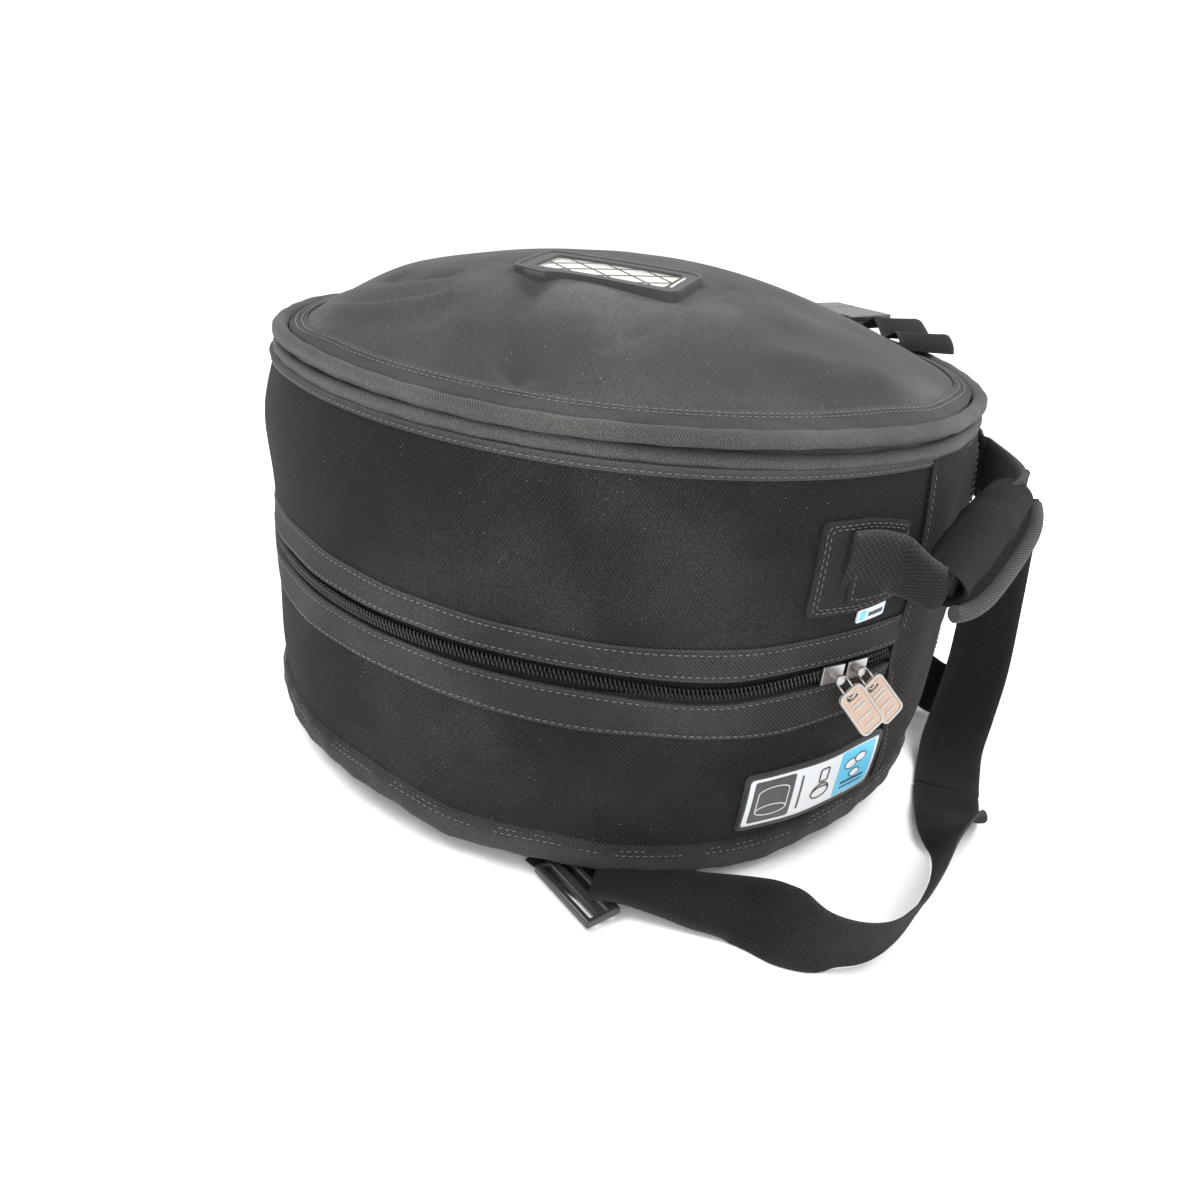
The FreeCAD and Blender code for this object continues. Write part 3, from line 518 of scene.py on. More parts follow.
@dataclass(frozen=True)
class Cloth:
    """A woven finish: thread pattern, worn dust and stray lint.

    Attributes:
        name: Name of the finish.
        weave: How its threads cross.
        pitch: Thread spacing in millimetres.
        dark: Colour between threads.
        light: Colour on top of threads.
        dust: Colour of dust and rubbing.
        dusty: How much of the cloth the dust covers.
        lint: Density of pale specks.
        bump: Thread relief in millimetres.
        fuzz: Sheen of loose fibres.
    """

    name: str
    weave: Weave
    pitch: float
    dark: tuple
    light: tuple
    dust: tuple
    dusty: float = 0.35
    lint: float = 0.3
    bump: float = 0.12
    fuzz: float = 0.15

    def pattern(self, nodes: Nodes, x: object, y: object, fibres: object) -> object:
        """Thread height from 0 to 1 at thread counts x and y.

        Plain cloth is a sine across times a sine along, a twill one sine of their sum,
        herringbone a twill that folds back, and webbing fine cords along the strap.

        Args:
            nodes: The material's nodes.
            x: Thread count across the cloth.
            y: Thread count along the cloth.
            fibres: Height of the loose fibres, which is all that fleece shows.

        Returns:
            The socket that carries the height.
        """
        if self.weave is Weave.FLEECE:
            return fibres
        if self.weave is Weave.PLAIN:
            across = nodes.math("SINE", nodes.math("MULTIPLY", x, math.pi))
            along = nodes.math("SINE", nodes.math("MULTIPLY", y, math.pi))
            both = nodes.math("MULTIPLY", across, along)
            return nodes.math("MULTIPLY_ADD", both, 0.5, 0.5)
        if self.weave is Weave.TWILL:
            slant = nodes.math("ADD", x, y)
        elif self.weave is Weave.HERRINGBONE:
            slant = nodes.math("ADD", x, nodes.math("PINGPONG", y, 4.0))
        else:
            slant = nodes.math("ADD", nodes.math("MULTIPLY", x, 0.8),
                               nodes.math("PINGPONG", y, 1.5))
        wave = nodes.math("SINE", nodes.math("MULTIPLY", slant, TURN))
        return nodes.math("MULTIPLY_ADD", wave, 0.5, 0.5)

    def material(self) -> bpy.types.Material:
        """The node material of this finish."""
        nodes = Nodes(self.name)
        where = nodes.add("TexCoord").outputs["Object"]
        thread = nodes.add("UVMap", uv_map="thread").outputs[0]
        count = 1000.0 / self.pitch
        scaled = nodes.add("VectorMath", {0: thread, 1: (count, count, count)},
                           operation="MULTIPLY").outputs[0]
        split = nodes.add("SeparateXYZ", {0: scaled})
        fibres = nodes.noise(where, FIBRE_SCALE, 2.0)
        woven = self.pattern(nodes, split.outputs[0], split.outputs[1], fibres)
        thread_height = nodes.math("MULTIPLY_ADD", fibres, 0.45,
                                   nodes.math("MULTIPLY", woven, 0.75))
        colour = nodes.mix(nodes.step(thread_height, 0.2, 0.95), self.dark, self.light)
        blotch = nodes.step(nodes.noise(where, BLOTCH_SCALE, 8.0), 0.42, 0.78)
        grain = nodes.math("MULTIPLY_ADD", nodes.step(nodes.noise(where, GRAIN_SCALE), 0.4, 0.7),
                           0.7, 0.3)
        rubbed = nodes.math("MULTIPLY", nodes.math("MULTIPLY", blotch, grain), self.dusty)
        colour = nodes.mix(nodes.math("MULTIPLY", grain, 0.1), colour, self.dust)
        colour = nodes.mix(rubbed, colour, self.dust)
        specks = nodes.add("TexVoronoi", {"Vector": where, "Scale": SPECK_SCALE,
                                          "Randomness": 1.0}).outputs["Distance"]
        gate = nodes.step(nodes.noise(where, LINT_PATCH_SCALE), 0.5, 0.62)
        lint = nodes.math("MULTIPLY", nodes.step(specks, 0.12, 0.04), gate)
        colour = nodes.mix(nodes.math("MULTIPLY", lint, self.lint), colour, self.dust)
        worn = nodes.add("Attribute", attribute_name="wear").outputs["Fac"]
        frayed = nodes.math("MULTIPLY", worn, nodes.step(nodes.noise(where, FRAY_SCALE), 0.3, 0.7))
        colour = nodes.mix(nodes.math("MULTIPLY", frayed, 0.4), colour, self.dust)
        bump = nodes.add("Bump", {"Height": thread_height, "Distance": self.bump * MM,
                                  "Strength": 1.0})
        nodes.shade({"Base Color": colour, "Roughness": 0.92, "Specular IOR Level": 0.1,
                     "Sheen Weight": self.fuzz, "Sheen Roughness": 0.5,
                     "Normal": bump.outputs[0]})
        return nodes.material


@dataclass(frozen=True)
class Moulded:
    """A moulded, printed or plated finish with fine grain and light scratches.

    Attributes:
        name: Name of the finish.
        colour: Its colour.
        rough: Roughness of a clean area.
        metal: 1 for metal.
        grain: Relief of the fine grain in millimetres.
        scuffed: How much paler the scuffs are.
        coat: Clear coat weight.
    """

    name: str
    colour: tuple
    rough: float = 0.4
    metal: float = 0.0
    grain: float = 0.02
    scuffed: float = 0.2
    coat: float = 0.0

    def material(self) -> bpy.types.Material:
        """The node material of this finish."""
        nodes = Nodes(self.name)
        where = nodes.add("TexCoord").outputs["Object"]
        stretched = nodes.add("Mapping", {"Vector": where, "Scale": (1.0, 6.0, 1.0)}).outputs[0]
        scratch = nodes.step(nodes.noise(stretched, SCRATCH_SCALE, 5.0), 0.55, 0.75)
        patch = nodes.step(nodes.noise(where, SCUFF_PATCH_SCALE), 0.4, 0.7)
        scuff = nodes.math("MULTIPLY", scratch, patch)
        pale = tuple(min(1.0, c * 1.6 + 0.06) for c in self.colour[:3]) + (1.0,)
        colour = nodes.mix(nodes.math("MULTIPLY", scuff, self.scuffed), self.colour, pale)
        rough = nodes.math("MULTIPLY_ADD", scuff, 0.25, self.rough)
        bump = nodes.add("Bump", {"Height": nodes.noise(where, FINE_GRAIN_SCALE, 2.0),
                                  "Distance": self.grain * MM, "Strength": 1.0})
        nodes.shade({"Base Color": colour, "Metallic": self.metal, "Roughness": rough,
                     "Coat Weight": self.coat, "Normal": bump.outputs[0]})
        return nodes.material


class Finish(Enum):
    """Every finish on the bag."""

    WALL = Cloth("wall_cloth", Weave.PLAIN, 1.3, rgb(0.001), rgb(0.0125, -0.02), rgb(0.12),
                 0.3, 1.0, 0.3, 0.02)
    DOME = Cloth("pocket_cloth", Weave.TWILL, 1.0, rgb(0.008), rgb(0.042), rgb(0.24), 0.42,
                 0.8, 0.2, 0.07)
    BINDING = Cloth("binding_twill", Weave.TWILL, 2.0, rgb(0.01, 0.03), rgb(0.058, 0.04),
                    rgb(0.22, 0.06), 0.35, 0.4, 0.4, 0.1)
    # A darker copy of the binding twill: its darkness is painted shade for the lid's low edge
    # binding, and the zip facings use it too.
    SHADED_HEM = Cloth("hem_twill_painted_shade", Weave.TWILL, 2.0, rgb(0.004, 0.03), rgb(0.026, 0.04),
                rgb(0.16, 0.05), 0.35, 0.5, 0.35, 0.06)
    STRIP = Cloth("strip_twill", Weave.TWILL, 1.5, rgb(0.01, 0.03), rgb(0.032, 0.03),
                  rgb(0.15, 0.03), 0.3, 0.4, 0.3, 0.06)
    TAPE = Cloth("zip_tape", Weave.HERRINGBONE, 1.0, rgb(0.003), rgb(0.012), rgb(0.08), 0.2,
                 0.2, 0.1, 0.05)
    PANEL = Cloth("panel_cloth", Weave.PLAIN, 1.9, rgb(0.003, 0.1), rgb(0.014, 0.16),
                  rgb(0.06, 0.12), 0.3, 0.3, 0.4, 0.03)
    PATCH = Cloth("patch_cloth", Weave.PLAIN, 1.6, rgb(0.003, 0.05), rgb(0.02, 0.08),
                  rgb(0.14, 0.05), 0.45, 0.5, 0.35, 0.06)
    WEBBING = Cloth("strap_webbing", Weave.WEBBING, 1.3, rgb(0.002, 0.02), rgb(0.011, 0.03),
                    rgb(0.09), 0.25, 0.5, 0.25, 0.03)
    GRIP = Cloth("grip_cloth", Weave.PLAIN, 1.0, rgb(0.003), rgb(0.012), rgb(0.08), 0.25,
                 0.5, 0.16, 0.03)
    LINING = Cloth("lining_fleece", Weave.FLEECE, 1.0, rgb(0.02), rgb(0.05), rgb(0.08), 0.3,
                   0.2, 0.5, 0.3)
    STITCH = Cloth("stitching", Weave.TWILL, 0.5, rgb(0.10, 0.03), rgb(0.22, 0.03),
                   rgb(0.45), 0.5, 0.0, 0.05, 0.05)
    COIL = Moulded("zip_coil", rgb(0.012), 0.32, 0.0, 0.01, 0.5)
    BRIGHT = Moulded("slider_plating", rgb(0.42, 0.03), 0.32, 1.0, 0.01, 0.2)
    PULL = Moulded("pull_plating", (0.47, 0.35, 0.28, 1.0), 0.5, 0.4, 0.04, 0.7)
    BUCKLE = Moulded("buckle_plastic", rgb(0.022), 0.3, 0.0, 0.03, 0.35)
    RUBBER = Moulded("patch_rubber", rgb(0.035, -0.03), 0.5, 0.0, 0.05, 0.5)
    LABEL_RUBBER = Moulded("label_rubber", rgb(0.025), 0.5, 0.0, 0.04, 0.3)
    WHITE = Moulded("label_white", (0.72, 0.74, 0.76, 1.0), 0.4, 0.0, 0.01, 0.1, 0.2)
    BLUE = Moulded("label_blue", (0.13, 0.52, 0.74, 1.0), 0.4, 0.0, 0.01, 0.1, 0.2)
    INK = Moulded("label_ink", rgb(0.03), 0.45, 0.0, 0.01, 0.1)
    GREY = Moulded("label_grey", rgb(0.07), 0.45, 0.0, 0.01, 0.2)
    CARD = Moulded("card_paper", (0.5, 0.5, 0.44, 1.0), 0.7, 0.0, 0.01, 0.3)
    WINDOW = Moulded("window_sheet", (0.45, 0.45, 0.4, 1.0), 0.15, 0.0, 0.01, 0.2, 0.5)
    TAB = Moulded("tab_white", (0.6, 0.65, 0.7, 1.0), 0.8, 0.0, 0.05, 0.2)


MADE: dict[str, bpy.types.Material] = {}


def dress(piece: Piece, finish: Finish) -> Piece:
    """Give a piece its finish, whose material is made once.

    Args:
        piece: The piece.
        finish: Its finish.

    Returns:
        The same piece.
    """
    if finish.name not in MADE:
        MADE[finish.name] = finish.value.material()
    piece.data.materials.clear()
    piece.data.materials.append(MADE[finish.name])
    return piece


def fit(piece: Piece, finish: Finish, body: str, slot: str,
        *nodes: str) -> Piece:
    """Dress a piece, let it ride on a body and hide the frame nodes that it replaces.

    Args:
        piece: The finished piece.
        finish: Its finish.
        body: The body that it moves with.
        slot: The record's material slot; not used.
        *nodes: The frame nodes that it replaces.

    Returns:
        The same piece.
    """
    dress(piece, finish)
    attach(piece, body)
    if nodes:
        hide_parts(*nodes)
    LOG.info("%s rides on %s, %d faces", piece.name, body, len(piece.data.polygons))
    return piece


@dataclass(frozen=True)
class Ripple:
    """Slight unevenness of cloth: a seeded sum of sines round and up the bag.

    Attributes:
        depth: Amplitude in millimetres.
        waves: The number of waves round the bag stays below this.
        high: Height in millimetres over which a wave turns by up to one radian.
        seed: Seed of its draws.
    """

    depth: float
    waves: int
    high: float
    seed: int

    def at(self, azimuth: Array, height: Array) -> Array:
        """Outward shift: a third of the depth times the sum of nine sines.

        Args:
            azimuth: Azimuths in degrees.
            height: Heights in millimetres.

        Returns:
            The shift at each place.
        """
        draw = np.random.default_rng(self.seed)
        counts = draw.integers(2, self.waves, 9)
        rates = draw.uniform(-1, 1, 9) / self.high
        phases = draw.uniform(0, TURN, 9)
        angle = np.radians(azimuth)[..., None] * counts + height[..., None] * rates + phases
        return self.depth * np.sin(angle).sum(axis=-1) / 3.0


def round_blend(azimuth: Array, marks: Sequence[tuple[float, float]]) -> Array:
    """Value that runs smoothly through marks round the bag and closes on itself.

    Between two marks it is blended by 3 t^2 - 2 t^3, where t is the share of the way.

    Args:
        azimuth: Azimuths in degrees.
        marks: Pairs of an azimuth and a value.

    Returns:
        The value at each azimuth.
    """
    pairs = sorted(marks)
    at = np.array([a for a, _ in pairs] + [pairs[0][0] + 360.0])
    value = np.array([v for _, v in pairs] + [pairs[0][1]])
    turned = (np.asarray(azimuth, float) - at[0]) % 360.0 + at[0]
    span = np.clip(np.searchsorted(at, turned, side="right") - 1, 0, len(at) - 2)
    t = (turned - at[span]) / (at[span + 1] - at[span])
    t = t * t * (3 - 2 * t)
    return value[span] * (1 - t) + value[span + 1] * t


# ---- shared bag surfaces


ALL_ROUND = np.linspace(-180, 180, 360, endpoint=False)
ZIP_LEVEL = 117.0


@dataclass(frozen=True)
class BagShape:
    """The bag's soft surfaces, as functions of azimuth and height."""

    radius: float = 205.2
    unevenness: Ripple = Ripple(0.7, 11, 28.0, 5)
    dents: Ripple = Ripple(0.45, 30, 12.0, 8)

    def seam(self, azimuth: Array) -> Array:
        """Height of the seam over the lid's edge binding; it waves where the lid sags."""
        return round_blend(azimuth, [(-160, 26), (-112, 30), (-90, 31), (-74, 24.5), (-62, 25),
                                     (-50, 20.5), (-36, 20), (-12, 28), (20, 27), (70, 22),
                                     (120, 25)])

    def tuck(self, azimuth: Array) -> Array:
        """How far the lid's lower edge is drawn in."""
        return round_blend(azimuth, [(-160, 8), (-118, 5), (-60, 3.5), (-30, 5), (4, 7),
                                     (60, 9), (120, 8)])

    def crown(self, azimuth: Array) -> Array:
        """How far the upper rim stands out from the zip's circle; it is drawn in behind."""
        return round_blend(azimuth, [(-150, -7), (-112, -4), (-60, -3), (-15, -4), (12, -9),
                                     (50, -11), (120, -8), (180, -10)])

    def droop(self, azimuth: Array) -> Array:
        """How far the upper rim hangs below its level."""
        return round_blend(azimuth, [(-150, -4), (-105, 0), (-60, -0.5), (-20, 0), (60, -3),
                                     (120, -6), (180, -7)])

    def sag(self, azimuth: Array) -> Array:
        """How far the zip hangs below its level, in the bell before the sliders."""
        turned = (azimuth + 180.0) % 360.0 - 180.0
        return -6.0 * np.exp(-((turned + 42.0) / 13.0) ** 2) + 1.2 * np.exp(
            -((turned + 120.0) / 30.0) ** 2)

    def wall(self, azimuth: Array, height: Array) -> Array:
        """Radius of the wall cloth: uneven, full above the zip, pinched at it, tucked below.

        Args:
            azimuth: Azimuths in degrees.
            height: Heights in millimetres.

        Returns:
            The radius at each place.
        """
        azimuth, height = np.broadcast_arrays(np.asarray(azimuth, float), height)
        loose = np.clip(np.minimum(216 - height, height - 16) / 25.0, 0, 1)
        uneven = (self.unevenness.at(azimuth, height) + self.dents.at(azimuth, height)) * loose
        full = 1.6 * np.sin(np.clip((height - 128) / 86, 0, 1) * math.pi)
        pinch = -0.8 * np.exp(-((height - ZIP_LEVEL) / 9.0) ** 2)
        drawn = -self.tuck(azimuth) * np.clip((62 - height) / 50, 0, 1.2) ** 2
        leaning = self.crown(azimuth) * np.clip((height - 120) / 94, 0, 1.3) ** 1.2
        leaning = leaning + 5.0 * np.exp(-((azimuth + 125) / 26) ** 2
                                         - ((height - 185) / 30) ** 2)
        return self.radius + uneven + full + pinch + drawn + leaning

    def on_wall(self, azimuth: Array, height: Array, lift: float | Array) -> Array:
        """Points over the wall cloth."""
        return polar(self.wall(azimuth, height) + lift, azimuth, height)


BAG = BagShape()


@dataclass(frozen=True)
class Fold:
    """A crease or swell of the pocket cloth along a line seen from above.

    Attributes:
        line: Points (x, y) of the line.
        depth: Height of a swell, or less than 0 for a crease.
        width: Half width of the bell.
        side: The side of the line, 1 or -1, on which the bell is steeper, or 0.
    """

    line: tuple
    depth: float
    width: float
    side: float = 0.0

    def at(self, x: Array, y: Array) -> Array:
        """Height of the fold: a bell of the distance to its line, fading at both ends.

        With a side, the bell is steeper on one side of the line, as in an overlapped tuck.

        Args:
            x: Places along X.
            y: Places along Y.

        Returns:
            The height at each place.
        """
        marks = np.array(self.line, float)
        rise = np.zeros(x.shape)
        for start, end in zip(marks[:-1], marks[1:]):
            ahead = end - start
            length = math.hypot(*ahead)
            t = ((x - start[0]) * ahead[0] + (y - start[1]) * ahead[1]) / length ** 2
            inside = np.clip(t, 0, 1)
            away_x = x - start[0] - inside * ahead[0]
            away_y = y - start[1] - inside * ahead[1]
            across = (away_x * ahead[1] - away_y * ahead[0]) / length
            away = np.hypot(away_x, away_y)
            width = self.width * np.where(across * self.side > 0, 0.35, 1.0)
            rise = np.maximum(rise, np.exp(-(away / width) ** 2))
        return self.depth * rise


@dataclass(frozen=True)
class PocketShape:
    """The full pocket over the upper face, as a height over the floor."""

    rim: float = 199.0
    rim_level: float = 230.0
    top_level: float = 273.6
    lean: tuple = (-4.0, -10.0)
    folds: tuple = (
        Fold(((-2, -96), (12, -120), (32, -146), (48, -164)), -9.0, 8.0),
        Fold(((-36, -100), (-16, -124), (2, -150)), 5.0, 12.0),
        Fold(((32, -100), (52, -122), (76, -142)), 3.6, 13.0),
        Fold(((-100, -96), (-70, -112), (-46, -104)), -4.0, 8.0),
        Fold(((112, -40), (124, -72), (126, -104)), -2.6, 13.0),
        Fold(((128, -66), (144, -58), (158, -34)), 3.0, 12.0),
        Fold(((-112, -140), (-84, -150), (-56, -150), (-22, -136)), 4.0, 9.0, -1.0),
        Fold(((-120, -120), (-84, -132), (-50, -124)), 2.4, 14.0),
        Fold(((65, -13), (74, -94), (70, -134)), -1.3, 2.6),
        Fold(((140, -52), (150, -20)), 4.0, 34.0),
        Fold(((-130, -60), (-150, 10)), 3.0, 30.0),
        Fold(((-30, 60), (40, 120), (70, 150)), -2.4, 12.0),
        Fold(((-120, 60), (-70, 110)), -2.2, 14.0),
    )

    def rim_reach(self, azimuth: Array) -> Array:
        """Radius of the pocket's outer edge, inside the upper rim."""
        return self.rim + BAG.crown(azimuth)

    def edge(self, azimuth: Array) -> Array:
        """Radius of the stitched strip's inner edge, where the pocket starts to rise."""
        inset = round_blend(azimuth, [(-150, 6), (-121, 8), (-106, 13), (-68, 16), (-43, 18),
                                      (-18, 18), (-4, 12), (20, 8), (90, 7), (180, 6)])
        return self.rim_reach(azimuth) - inset

    def height(self, x: Array, y: Array) -> Array:
        """Height of the pocket cloth: a low slope over the strip, then a full crown.

        The crown is a power of the distance from a middle that leans with the contents.

        Args:
            x: Places along X.
            y: Places along Y.

        Returns:
            The height at each place.
        """
        reach = np.hypot(x, y)
        azimuth = np.degrees(np.arctan2(y, x))
        edge = self.edge(azimuth)
        rim = self.rim_reach(azimuth)
        level = self.rim_level + BAG.droop(azimuth)
        foot = level + (rim - edge) * 0.17
        slope = level + (rim - reach) * 0.17
        share = np.clip(reach / edge, 0, 1)
        shift = (1 - share) * share * 4
        moved = np.hypot(x - self.lean[0] * shift, y - self.lean[1] * shift)
        moved = np.clip(moved / edge, 0, 1)
        crown = foot + (self.top_level - foot) * (1 - moved ** 2.2)
        level = np.where(reach > edge, slope, crown)
        inner = np.clip((edge - reach) / 14.0, 0, 1)
        ripple = Ripple(0.5, 9, 40.0, 3).at(azimuth, reach) * np.clip(reach / 70 - 0.2, 0, 1)
        for fold in self.folds:
            ripple = ripple + fold.at(x, y)
        return np.minimum(level + ripple * inner, 276.0)

    def on_top(self, x: Array, y: Array, lift: float | Array) -> Array:
        """Points over the pocket cloth."""
        parts = np.broadcast_arrays(x, y, self.height(x, y) + lift)
        return np.stack(parts, -1)


POCKET = PocketShape()


def stitch_row(name: str, line: Array, out: Array, pitch: float = 3.6,
               length: float = 2.4, thick: float = 0.45) -> Piece:
    """A row of thread stitches along a line; each is a small lozenge on the cloth.

    Args:
        name: The piece's name.
        line: Points of the row.
        out: Direction away from the cloth at each point.
        pitch: Distance from stitch to stitch.
        length: Length of one stitch.
        thick: Thickness of the thread.

    Returns:
        The linked object.
    """
    run = running_length(line)
    at = np.arange(pitch, run[-1] - pitch / 2, pitch)
    offsets = np.array([-length / 2, -length / 4, length / 4, length / 2])
    where = at[:, None] + offsets[None, :]
    points = np.stack([np.interp(where, run, line[:, k]) for k in range(3)], -1)
    lift = unit(np.stack([np.interp(where, run, out[:, k]) for k in range(3)], -1))
    ahead = unit(points[:, -1] - points[:, 0])[:, None]
    side = np.cross(lift, ahead)
    size = np.array([0.15, 1.0, 1.0, 0.15])[None, :, None]
    rise = np.array([-0.2, 0.55, 0.55, -0.2])[None, :, None] * thick
    corners = [(1, 0), (0, 1), (-1, 0), (0, -1)]
    rings = np.stack([points + lift * rise + (side * a + lift * b) * size * thick / 2
                      for a, b in corners], axis=2)
    count = len(at)
    vertices = rings.reshape(-1, 3)
    base = (np.arange(count) * 16)[:, None, None]
    i = np.arange(3)[:, None]
    j = np.arange(4)[None, :]
    cell = np.stack([i * 4 + j, i * 4 + 4 + j, i * 4 + 4 + (j + 1) % 4, i * 4 + (j + 1) % 4], -1)
    quads = (base + cell.reshape(1, -1, 4)).reshape(-1, 4)
    ends = (base + np.array([[[3, 2, 1, 0], [12, 13, 14, 15]]])).reshape(-1, 4)
    mesh = bpy.data.meshes.new(name)
    mesh.from_pydata((vertices * MM).tolist(), [], np.vstack([quads, ends]).tolist())
    layer = mesh.uv_layers.new(name="thread")
    flat = np.tile(np.array([[0, 0], [1, 0], [1, 1], [0, 1]]) * MM, (len(mesh.polygons), 1))
    layer.data.foreach_set("uv", flat.ravel())
    mesh.attributes.new("wear", "FLOAT", "POINT")
    return finish_mesh(name, mesh, False, 60.0)


def outward(line: Array) -> Array:
    """Level direction away from the bag's axis at each point."""
    return unit(line * np.array([1.0, 1.0, 0.0]))


def sew(name: str, line: Array, body: str, slot: str = "twill") -> None:
    """A row of stitches along a line on the wall, which moves with a body."""
    fit(stitch_row(name, line, outward(line)), Finish.STITCH, body, slot)


# ---- the lid and the base


@dataclass
class Shells:
    """Walls, end panels, padding and bindings of the lid and the base.

    Attributes:
        cloth: Thickness of the wall cloth.
        levels: Rows of points from a wall's foot to its top.
        stand: Radius of the flat part of the underside.
    """

    cloth: float = 1.0
    levels: int = 26
    stand: float = 142.0

    def wall(self, name: str, low: Callable[[Array], Array], high: float) -> Piece:
        """A wall of cloth between two heights, as a thin closed sheet.

        Args:
            name: The piece's name.
            low: Gives the height of its foot at each azimuth.
            high: Height of its top.

        Returns:
            The linked object.
        """
        t = np.linspace(0, 1, self.levels)[None, :]
        foot = low(ALL_ROUND)[:, None]
        hang = BAG.droop(ALL_ROUND)[:, None] * np.clip((high - 150) / 60, 0, 1)
        height = foot + (high + hang - foot) * t
        azimuth = np.broadcast_to(ALL_ROUND[:, None], height.shape)
        outer = BAG.on_wall(azimuth, height, 0.0)
        inner = BAG.on_wall(azimuth, height, -self.cloth)
        return sheet_solid(name, outer, inner, True)

    def liner(self, name: str, profile: Array, tuck: bool) -> Piece:
        """The quilted lining and its padding: a cup whose closed section is turned round.

        The section follows the wall where it is drawn in, and soft quilting waves it.

        Args:
            name: The piece's name.
            profile: Points (radius, height) of the section.
            tuck: Whether it belongs to the half whose edge is tucked in.

        Returns:
            The linked object.
        """
        azimuth = np.broadcast_to(ALL_ROUND[:, None], (len(ALL_ROUND), len(profile)))
        radius = np.broadcast_to(profile[:, 0], azimuth.shape)
        height = np.broadcast_to(profile[:, 1], azimuth.shape)
        outer_share = np.clip((radius - 150) / 50, 0, 1)
        drawn = np.minimum(BAG.wall(azimuth, height) - BAG.radius, 0.0) * (1.0 if tuck else 1.1)
        quilt = 0.35 * np.sin(np.radians(azimuth) * 36) * np.clip(radius / 150, 0, 1) ** 6
        hang = BAG.droop(azimuth) * np.clip((height - 200) / 20, 0, 1) * outer_share
        return ring_solid(name, polar(radius + (drawn + quilt) * outer_share, azimuth,
                                      height + hang), True, weld=True)

    def base(self) -> None:
        """Build the base: wall and liner."""
        fit(self.wall("base_wall", lambda a: np.full(a.shape, 124.0), 217.5), Finish.WALL,
            "base", "wall_fabric", "base_wall_fabric")
        cup = np.array([[0, 218.2], [90, 218.1], [170, 218.1], [190, 218], [193.6, 214],
                        [193.6, 200], [193.6, 170], [193.6, 140], [194.2, 131], [197, 129.4],
                        [201, 129.6], [203.0, 132], [203.3, 160], [203.3, 200], [203.2, 224],
                        [199, 228.4], [120, 228.4], [0, 228.4]])
        fit(self.liner("base_liner", cup, False), Finish.LINING, "base", "lining",
            "base_wall_foam", "base_wall_lining", "base_panel_foam", "base_panel_lining",
            "base_panel_fabric")

    def lid(self) -> None:
        """Build the lid: wall, liner, dished underside and edge binding."""
        fit(self.wall("lid_wall", lambda a: BAG.seam(a) - 6.0, 110.5), Finish.WALL, "lid",
            "wall_fabric", "lid_wall_fabric")
        cup = np.array([[0, 11.6], [90, 11.6], [150, 11.8], [175, 16.8], [190, 21.2],
                        [193.4, 26], [193.6, 50], [193.6, 80], [194.2, 102], [197, 104.2],
                        [201, 104], [202.8, 101], [203, 80], [203, 50], [202.4, 27],
                        [200, 19], [170, 9.5], [150, 4.2], [90, 3.0], [0, 3.0]])
        fit(self.liner("lid_liner", cup, True), Finish.LINING, "lid", "lining",
            "lid_wall_foam", "lid_wall_lining", "lid_panel_foam", "lid_panel_lining")
        self.underside()
        self.edge_binding()

    def underside(self) -> None:
        """The lid's outer panel: flat where it stands, then rising to the binding."""
        t = np.linspace(0, 1, 34)[None, :]
        azimuth = np.broadcast_to(ALL_ROUND[:, None], (len(ALL_ROUND), 34))
        edge_level = BAG.seam(azimuth) - 15.0
        edge_radius = BAG.wall(azimuth, BAG.seam(azimuth)) - 2.0
        radius = edge_radius * t
        slope = np.clip((radius - self.stand) / (edge_radius - self.stand), 0, 1)
        crease = 0.5 * np.sin(np.radians(azimuth) * 7 + radius / 20) * slope
        height = 0.2 + np.maximum(edge_level, 1.2) * slope ** 1.6 + np.abs(crease) * slope
        lower = polar(radius, azimuth, height)
        upper = polar(radius, azimuth, height + 1.0)
        fit(sheet_solid("lid_panel", lower, upper, True, weld=True), Finish.WALL, "lid",
            "wall_fabric", "lid_panel_fabric")

    def edge_binding(self) -> None:
        """The wide twill binding round the lid's edge, with its two stitch rows."""
        section = np.array([[0.2, 1.0], [1.3, 0.4], [2.6, -2.5], [3.2, -7.0], [3.0, -11.5],
                            [1.6, -15.5], [-2.5, -17.6], [-8, -17.0], [-14, -16.0],
                            [-14, -14.8], [-7, -15.2], [-2, -14.8], [-0.4, -10],
                            [-0.3, -3.0]])
        azimuth = np.broadcast_to(ALL_ROUND[:, None], (len(ALL_ROUND), len(section)))
        seam = BAG.seam(azimuth)
        height = seam + section[:, 1]
        pucker = 0.5 * np.sin(np.radians(azimuth) * 23 + section[:, 1] / 3) + 0.35 * np.sin(
            np.radians(azimuth) * 61 + 1.0)
        radius = BAG.wall(azimuth, seam) + section[:, 0] + pucker * (section[:, 0] > 1)
        wear = np.broadcast_to((section[:, 1] < -6) * 0.5, azimuth.shape)
        rings = polar(radius, azimuth, np.maximum(height, 0.6))
        # The binding's darker twill is painted shade under the lid's edge.
        fit(ring_solid("lid_edge_binding", rings, True, wear), Finish.SHADED_HEM, "lid", "twill",
            "lid_rim_binding")
        for row, drop in enumerate((1.6, 3.6)):
            seam_row = BAG.seam(ALL_ROUND)
            line = polar(BAG.wall(ALL_ROUND, seam_row) + 1.6 + row * 1.1, ALL_ROUND,
                         seam_row - drop)
            sew(f"lid_binding_stitches_{row + 1}", line, "lid")

